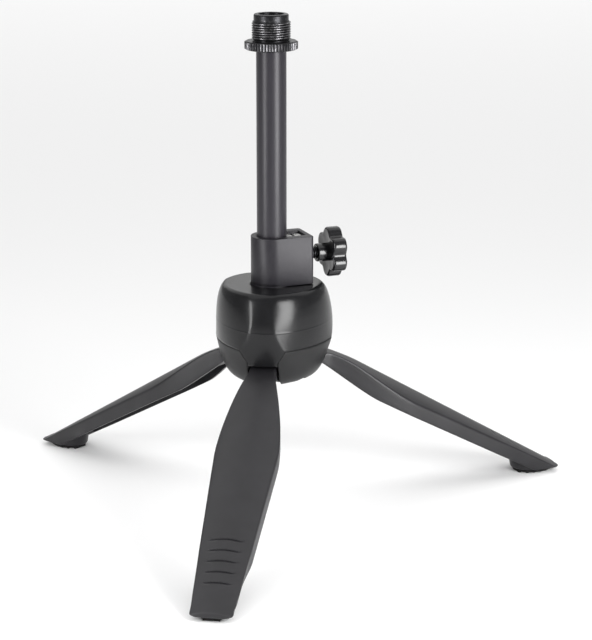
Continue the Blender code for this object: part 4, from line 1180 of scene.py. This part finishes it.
# %% Adapter
INCH = 25.4
ADAPTER_LOW, ADAPTER_HIGH = cad("mic_thread_adapter")
FLANGE_FOOT = cad("centre_tube")[1].z + SHELL_GAP
FLANGE_HEIGHT = 3.5
FLANGE_TOP = FLANGE_FOOT + FLANGE_HEIGHT
FLANGE_BEVEL = 0.35
FLANGE_RADIUS = ADAPTER_HIGH.x
THREAD_CREST = 0.622 * INCH / 2
THREAD_TOOTH = 0.55
THREAD_PITCH = INCH / 27
NOSE_LENGTH = 2.9
NOSE_RADIUS = 7.1
THREAD_TOP = ADAPTER_HIGH.z - NOSE_LENGTH
RIDGES = 54
RIDGE_DEPTH = 0.42
RIM = FLANGE_RADIUS - RIDGE_DEPTH


def rounded_profile(points, radius, count=4):
    """A (radius, height) outline with its corners rounded where a radius is given."""
    made = []
    for i, point in enumerate(points):
        corner = Vector((*point[:2], 0))
        size = point[2] if len(point) > 2 else radius
        before = Vector((*points[i - 1][:2], 0)) - corner
        after = Vector((*points[(i + 1) % len(points)][:2], 0)) - corner
        size = min(size, 0.45 * before.length, 0.45 * after.length)
        start, end = corner + before.normalized() * size, corner + after.normalized() * size
        made += [(p.x, p.y) for p in curve(start, corner, end, count)]
    return made


def knurl():
    """Ridges round the flange's rim, with pointed ends."""
    length = FLANGE_HEIGHT - 2 * FLANGE_BEVEL
    tree = Growth("knurl", {"Ridges": RIDGES, "Rim": RIM, "Height": length, "Ridge": RIDGE_DEPTH})
    ring = tree.ring("Ridges", "Rim")
    x, y, _ = tree.here()
    facing = xyz(tree, z=tree.maths("ARCTAN2", y, x))
    half = tree.maths("MULTIPLY", tree["Rim"], math.pi / RIDGES * 0.92)
    bar_sockets = {"Vertices": 4, "Radius": 1.0, "Depth": tree["Height"], "Side Segments": 1}
    bar = tree.node("GeometryNodeMeshCylinder", {"fill_type": "NGON"}, bar_sockets)
    scale = xyz(tree, tree["Ridge"], half, 1.0)
    sized = tree.node("GeometryNodeTransform", {}, {"Geometry": bar, "Scale": scale})
    return tree.copies(ring, sized, adapter_black, Rotation=facing)


adapter_black = blackened(
    "adapter_black",
    (
        (THREAD_CREST, FLANGE_TOP + 0.5, THREAD_TOP),
        (FLANGE_RADIUS - 0.05, FLANGE_FOOT - 0.5, FLANGE_TOP + 0.5),
        (NOSE_RADIUS + 0.15, THREAD_TOP + 0.2, ADAPTER_HIGH.z - 0.1),
    ),
)
ROOT = THREAD_CREST - THREAD_TOOTH
PLUG = TUBE_BORE - SHELL_GAP
adapter_outline = [
    (PLUG - 1.1, ADAPTER_LOW.z),
    (PLUG, ADAPTER_LOW.z, 0.4),
    (PLUG, FLANGE_FOOT),
    (RIM - 0.25, FLANGE_FOOT, 0.1),
    (RIM, FLANGE_FOOT + FLANGE_BEVEL, 0.1),
    (RIM, FLANGE_TOP - FLANGE_BEVEL, 0.1),
    (RIM - 0.25, FLANGE_TOP, 0.1),
    (ROOT - 0.2, FLANGE_TOP, 0.15),
    (ROOT - 0.2, FLANGE_TOP + 0.9, 0.1),
    (ROOT - 0.1, THREAD_TOP - 0.5, 0.1),
    (NOSE_RADIUS, THREAD_TOP + 0.1, 0.1),
    (NOSE_RADIUS, ADAPTER_HIGH.z, 0.75),
    (TUBE_BORE, ADAPTER_HIGH.z, 0.35),
    (TUBE_BORE, FLANGE_TOP, 0.3),
    (PLUG - 1.1, FLANGE_TOP - 0.4, 0.2),
]
adapter = as_object("thread_adapter", turned(rounded_profile(adapter_outline, 0.05)))
thread_ends = (FLANGE_TOP + 0.4, THREAD_TOP + 0.1)
sizes = (THREAD_CREST, THREAD_TOOTH, THREAD_PITCH, *thread_ends)
nose_thread = thread("nose_thread", *sizes, adapter_black, around=144)
ridges = knurl()
ridges.data.transform(Matrix.Translation((0, 0, (FLANGE_FOOT + FLANGE_TOP) / 2)))
join_bodies(adapter, nose_thread, ridges)
piece(adapter, "mast", adapter_black, "adapter_steel", "mic_thread_adapter", sharp=42)

# %% Tube and stop
TUBE_LOW, TUBE_HIGH = cad("centre_tube")
STOP_LOW, STOP_HIGH = cad("tube_stop")
tube_outline = [(TUBE_RADIUS, TUBE_LOW.z), (TUBE_RADIUS, TUBE_HIGH.z)]
tube_outline += [(TUBE_BORE, TUBE_HIGH.z), (TUBE_BORE, TUBE_LOW.z)]
tube = as_object("mast_tube", turned(rounded_profile(tube_outline, 0.25)))
piece(tube, "mast", tube_paint, "tube_paint", "centre_tube")
stop_outline = [
    (TUBE_BORE - 1, STOP_LOW.z),
    (STOP_HIGH.x, STOP_LOW.z, 0.5),
    (STOP_HIGH.x, STOP_HIGH.z),
    (TUBE_RADIUS + 0.1, STOP_HIGH.z),
    (TUBE_RADIUS + 0.1, STOP_LOW.z + 1),
    (TUBE_BORE - 1, STOP_LOW.z + 1),
]
stop = as_object("mast_stop", turned(rounded_profile(stop_outline, 0.15)))
piece(stop, "tube_stop", inner_plastic, "stop_nylon", "tube_stop")

# %% [markdown]
# ## Thumbscrew
# The knob is a star with six rounded lobes, moulded over the end of the clamp screw, with a plain round neck.
# Its outline is a circle that dips between the lobes; the dip is narrow and the lobe is broad, so a power of a
# cosine shapes it. Both faces are dished a little, as moulded knobs are, so that they don't sink in the middle.

# %% Knob and screw
KNOB_LOW, KNOB_HIGH = cad("thumbscrew_knob")
NECK_START = KNOB_LOW.x
KNOB_START = NECK_START + 4.5
KNOB_FACE = KNOB_HIGH.x
KNOB_EDGE = 1.0
KNOB_RADIUS = (KNOB_HIGH.z - KNOB_LOW.z) / 2
LOBES = 6
DIP = 2.3
NECK_RADIUS = 3.8


def star(radius, x, depth=1.0):
    """The knob's outline at a place along its axis, with a share of its dips."""
    points = []
    sides = 24 * LOBES
    for i in range(sides):
        a = math.tau * i / sides
        dip = DIP * depth * (0.5 - 0.5 * math.cos(LOBES * a)) ** 1.7
        r = radius - dip * min(radius / KNOB_RADIUS, 1.0) ** 2
        points.append(Vector((x, r * math.sin(a), r * math.cos(a))))
    return points


def knob_body():
    quarter = spread(0, math.pi / 2, 6)
    rim = [(KNOB_RADIUS - KNOB_EDGE * (1 - math.sin(a)), KNOB_EDGE * (1 - math.cos(a))) for a in quarter]
    flat = KNOB_RADIUS - 2 * KNOB_EDGE
    back = [(0.35 * KNOB_RADIUS, 0.5), (0.6 * KNOB_RADIUS, 0.45), (flat, 0.05)]
    front = [(flat, 0.1), (0.6 * KNOB_RADIUS, 0.5), (0.3 * KNOB_RADIUS, 0.6)]
    loops = [star(r, KNOB_START + inset, r / KNOB_RADIUS) for r, inset in [*back, *rim]]
    loops += [star(r, KNOB_FACE - inset, r / KNOB_RADIUS) for r, inset in [*reversed(rim), *front]]
    return skin(loops)


def neck_body():
    outline = [
        (SCREW_RADIUS + 0.2, NECK_START),
        (NECK_RADIUS, NECK_START, 0.5),
        (NECK_RADIUS, KNOB_START + 0.6),
        (SCREW_RADIUS + 0.2, KNOB_START + 0.6),
    ]
    return along_screw(turned(rounded_profile(outline, 0.1)))


knob = as_object("knob", moved(knob_body(), Matrix.Translation((0, 0, SCREW_HEIGHT))))
join_bodies(knob, neck_body())
piece(knob, "thumbscrew", knob_gloss, "knob_plastic", "thumbscrew_knob", sharp=60)

STUD_TOOTH = 0.42
STUD_PITCH = 0.8
STUD_TIP = 1.5
core, shoulder = SCREW_RADIUS - 0.45, SHOE_HIGH.x + SHELL_GAP
stud_outline = [
    (0.2, STUD_LOW.x),
    (STUD_TIP, STUD_LOW.x),
    (STUD_TIP, shoulder),
    (core, shoulder),
    (core, STUD_HIGH.x),
    (0.2, STUD_HIGH.x),
]
stud = as_object("clamp_screw", along_screw(turned(stud_outline, 48)))
thread_ends = (SHOE_HIGH.x + 0.4, STUD_HIGH.x - 0.2)
stud_thread = thread("stud_thread", SCREW_RADIUS, STUD_TOOTH, STUD_PITCH, *thread_ends, dark_steel, around=64)
stud_thread.data.transform(Matrix.Translation((0, 0, SCREW_HEIGHT)) @ ALONG_X)
join_bodies(stud, stud_thread)
piece(stud, "thumbscrew", dark_steel, "stud_steel", "thumbscrew_stud", sharp=42)

# %% [markdown]
# ## Screws under the hub
# Three pan head screws hold the shells together from below. One is drawn with a cross recess, and Geometry
# Nodes set a copy on each corner of a triangle, turned its own way, because no assembler lines the slots up.

# %% Hub screws
SCREW_TIP = cad("hub_screw_1")[1].z
HEAD_HEIGHT = 1.9
HEAD_RADIUS = 2.7
SHANK_RADIUS = 1.45
RECESS_LONG, RECESS_WIDE, RECESS_DEEP = 1.5, 0.35, 1.1  # the halves of an arm of the cross, and its depth


def pan_head_screw():
    low = SCREW_SEAT - HEAD_HEIGHT - 0.05
    head = low + HEAD_HEIGHT
    outline = [(0.2, low), (HEAD_RADIUS, low, 1.2), (HEAD_RADIUS, head, 0.2)]
    outline += [(SHANK_RADIUS, head), (SHANK_RADIUS, SCREW_TIP - 1), (0.2, SCREW_TIP)]
    made = as_object("hub_screw", turned(rounded_profile(outline, 0.1), 48))
    for x, y in ((RECESS_LONG, RECESS_WIDE), (RECESS_WIDE, RECESS_LONG)):
        cut(made, box_between((-x, -y, low - 1), (x, y, low + RECESS_DEEP)))
    return made


def set_screws(screw):
    tree = Growth("hub_screws", {"Corners": 3, "Distance": SCREW_RING})
    ring = tree.ring("Corners", "Distance")
    draw = {2: 0.0, 3: math.tau, "Seed": 4}
    turned_by = tree.node("FunctionNodeRandomValue", {"data_type": "FLOAT"}, draw, 1)
    info = tree.node("GeometryNodeObjectInfo", {}, {"Object": screw})
    geometry = Signal(tree, info.socket.node.outputs["Geometry"])
    return tree.copies(ring, geometry, dark_steel, Rotation=xyz(tree, z=turned_by))


pattern_screw = pan_head_screw()
screws = set_screws(pattern_screw)
bpy.data.objects.remove(pattern_screw)
screws.data.transform(turn(60))
piece(screws, "hub", dark_steel, "screw_steel", "hub_screw_1", "hub_screw_2", "hub_screw_3")

# %% [markdown]
# ## Pieces that stay as they are
# The hinge pins and the ring nut inside the hub are plain turned pieces, and little of them is ever seen, so
# their own meshes stay. They only get a finish.

# %% Finishes for the carried-over nodes
KEPT = {"collar_lock_ring": inner_plastic, **{f"{side}_leg_pin": pin_steel for side in LEGS}}
for node, material in KEPT.items():
    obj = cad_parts[node]
    for slot in obj.material_slots:
        slot.material = material
print("kept:", ", ".join(KEPT))

# %% [markdown]
# ## Stage, light and camera
# Black plastic shows its shape only by what it reflects. Two upright soft boxes stand in front of the stand,
# one on each side, and draw a light line down every round piece; a low, wide one far behind lights the flat
# tops at a glancing angle; and a very wide soft light overhead whitens the floor. The camera looks slightly
# down on the stand from in front of its front leg.

# %% Stage
FLOOR_HALF = 12.0  # metres
stage_white = Finish("stage_white", Base_Color=(0.9, 0.9, 0.9, 1), Roughness=0.9, Specular_IOR_Level=0.0)
floor_mesh = bpy.data.meshes.new("stage_floor")
corners = [(x * FLOOR_HALF, y * FLOOR_HALF, 0) for x, y in ((-1, -1), (1, -1), (1, 1), (-1, 1))]
floor_mesh.from_pydata(corners, [], [(0, 1, 2, 3)])
floor_mesh.materials.append(stage_white.material)
stage_floor = placed("stage_floor", floor_mesh)
stage_floor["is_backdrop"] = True

# %% Light
CAMERA_AZIMUTH = 250.04  # seen from the tube's axis, counted from the right leg
MAST_MIDDLE = Vector((AXIS.x, AXIS.y, 0.11))


def around(azimuth, distance, height):
    """A place round the tube's axis, in metres."""
    return AXIS + polar(distance, math.radians(azimuth), height)


def soft_box(name, place, size, power, target=MAST_MIDDLE):
    light = bpy.data.lights.new(name, "AREA")
    light.shape = "RECTANGLE"
    light.size, light.size_y = size
    light.energy = power
    obj = placed(name, light)
    obj.location = place
    obj.rotation_euler = (target - place).to_track_quat("-Z", "Y").to_euler()
    obj.visible_camera = False


soft_box("left_box", around(CAMERA_AZIMUTH - 52, 0.46, 0.18), (0.12, 0.34), 1.6)
soft_box("right_box", around(CAMERA_AZIMUTH + 43, 0.46, 0.17), (0.19, 0.32), 3.1)
soft_box("back_box", around(CAMERA_AZIMUTH + 176, 3.2, 1.15), (4.4, 0.9), 9.6)
top_place = around(CAMERA_AZIMUTH + 180, 3.0, 3.0)
soft_box("top_box", top_place, (8.0, 8.0), 196.0, target=top_place - Vector((0, 0, 1)))

world = bpy.data.worlds.new("studio")
world.use_nodes = True
background = world.node_tree.nodes["Background"]
background.inputs["Color"].default_value = (1, 1, 1, 1)
background.inputs["Strength"].default_value = 0.3
bpy.context.scene.world = world
bpy.context.scene.view_settings.view_transform = "Standard"

# %% Camera
CAMERA_DISTANCE = 0.8603
CAMERA_HEIGHT = 0.3117
CAMERA_PITCH = 15.06
CAMERA_YAW = 0.665
CAMERA_LENS = 120.13
camera_data = bpy.data.cameras.new("camera")
camera_data.lens = CAMERA_LENS
camera_data.sensor_width = 36.0
camera = placed("camera", camera_data)
camera.location = around(CAMERA_AZIMUTH, CAMERA_DISTANCE, CAMERA_HEIGHT)
camera.rotation_euler = (math.radians(90 - CAMERA_PITCH), 0, math.radians(CAMERA_AZIMUTH + 90 - CAMERA_YAW))
bpy.context.scene.camera = camera
print("camera at", [round(v, 3) for v in camera.location])

# %% Sizes, and the end
visual_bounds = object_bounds()
sizes = {"cad": [list(corner) for corner in cad_bounds], "visual": [list(corner) for corner in visual_bounds]}
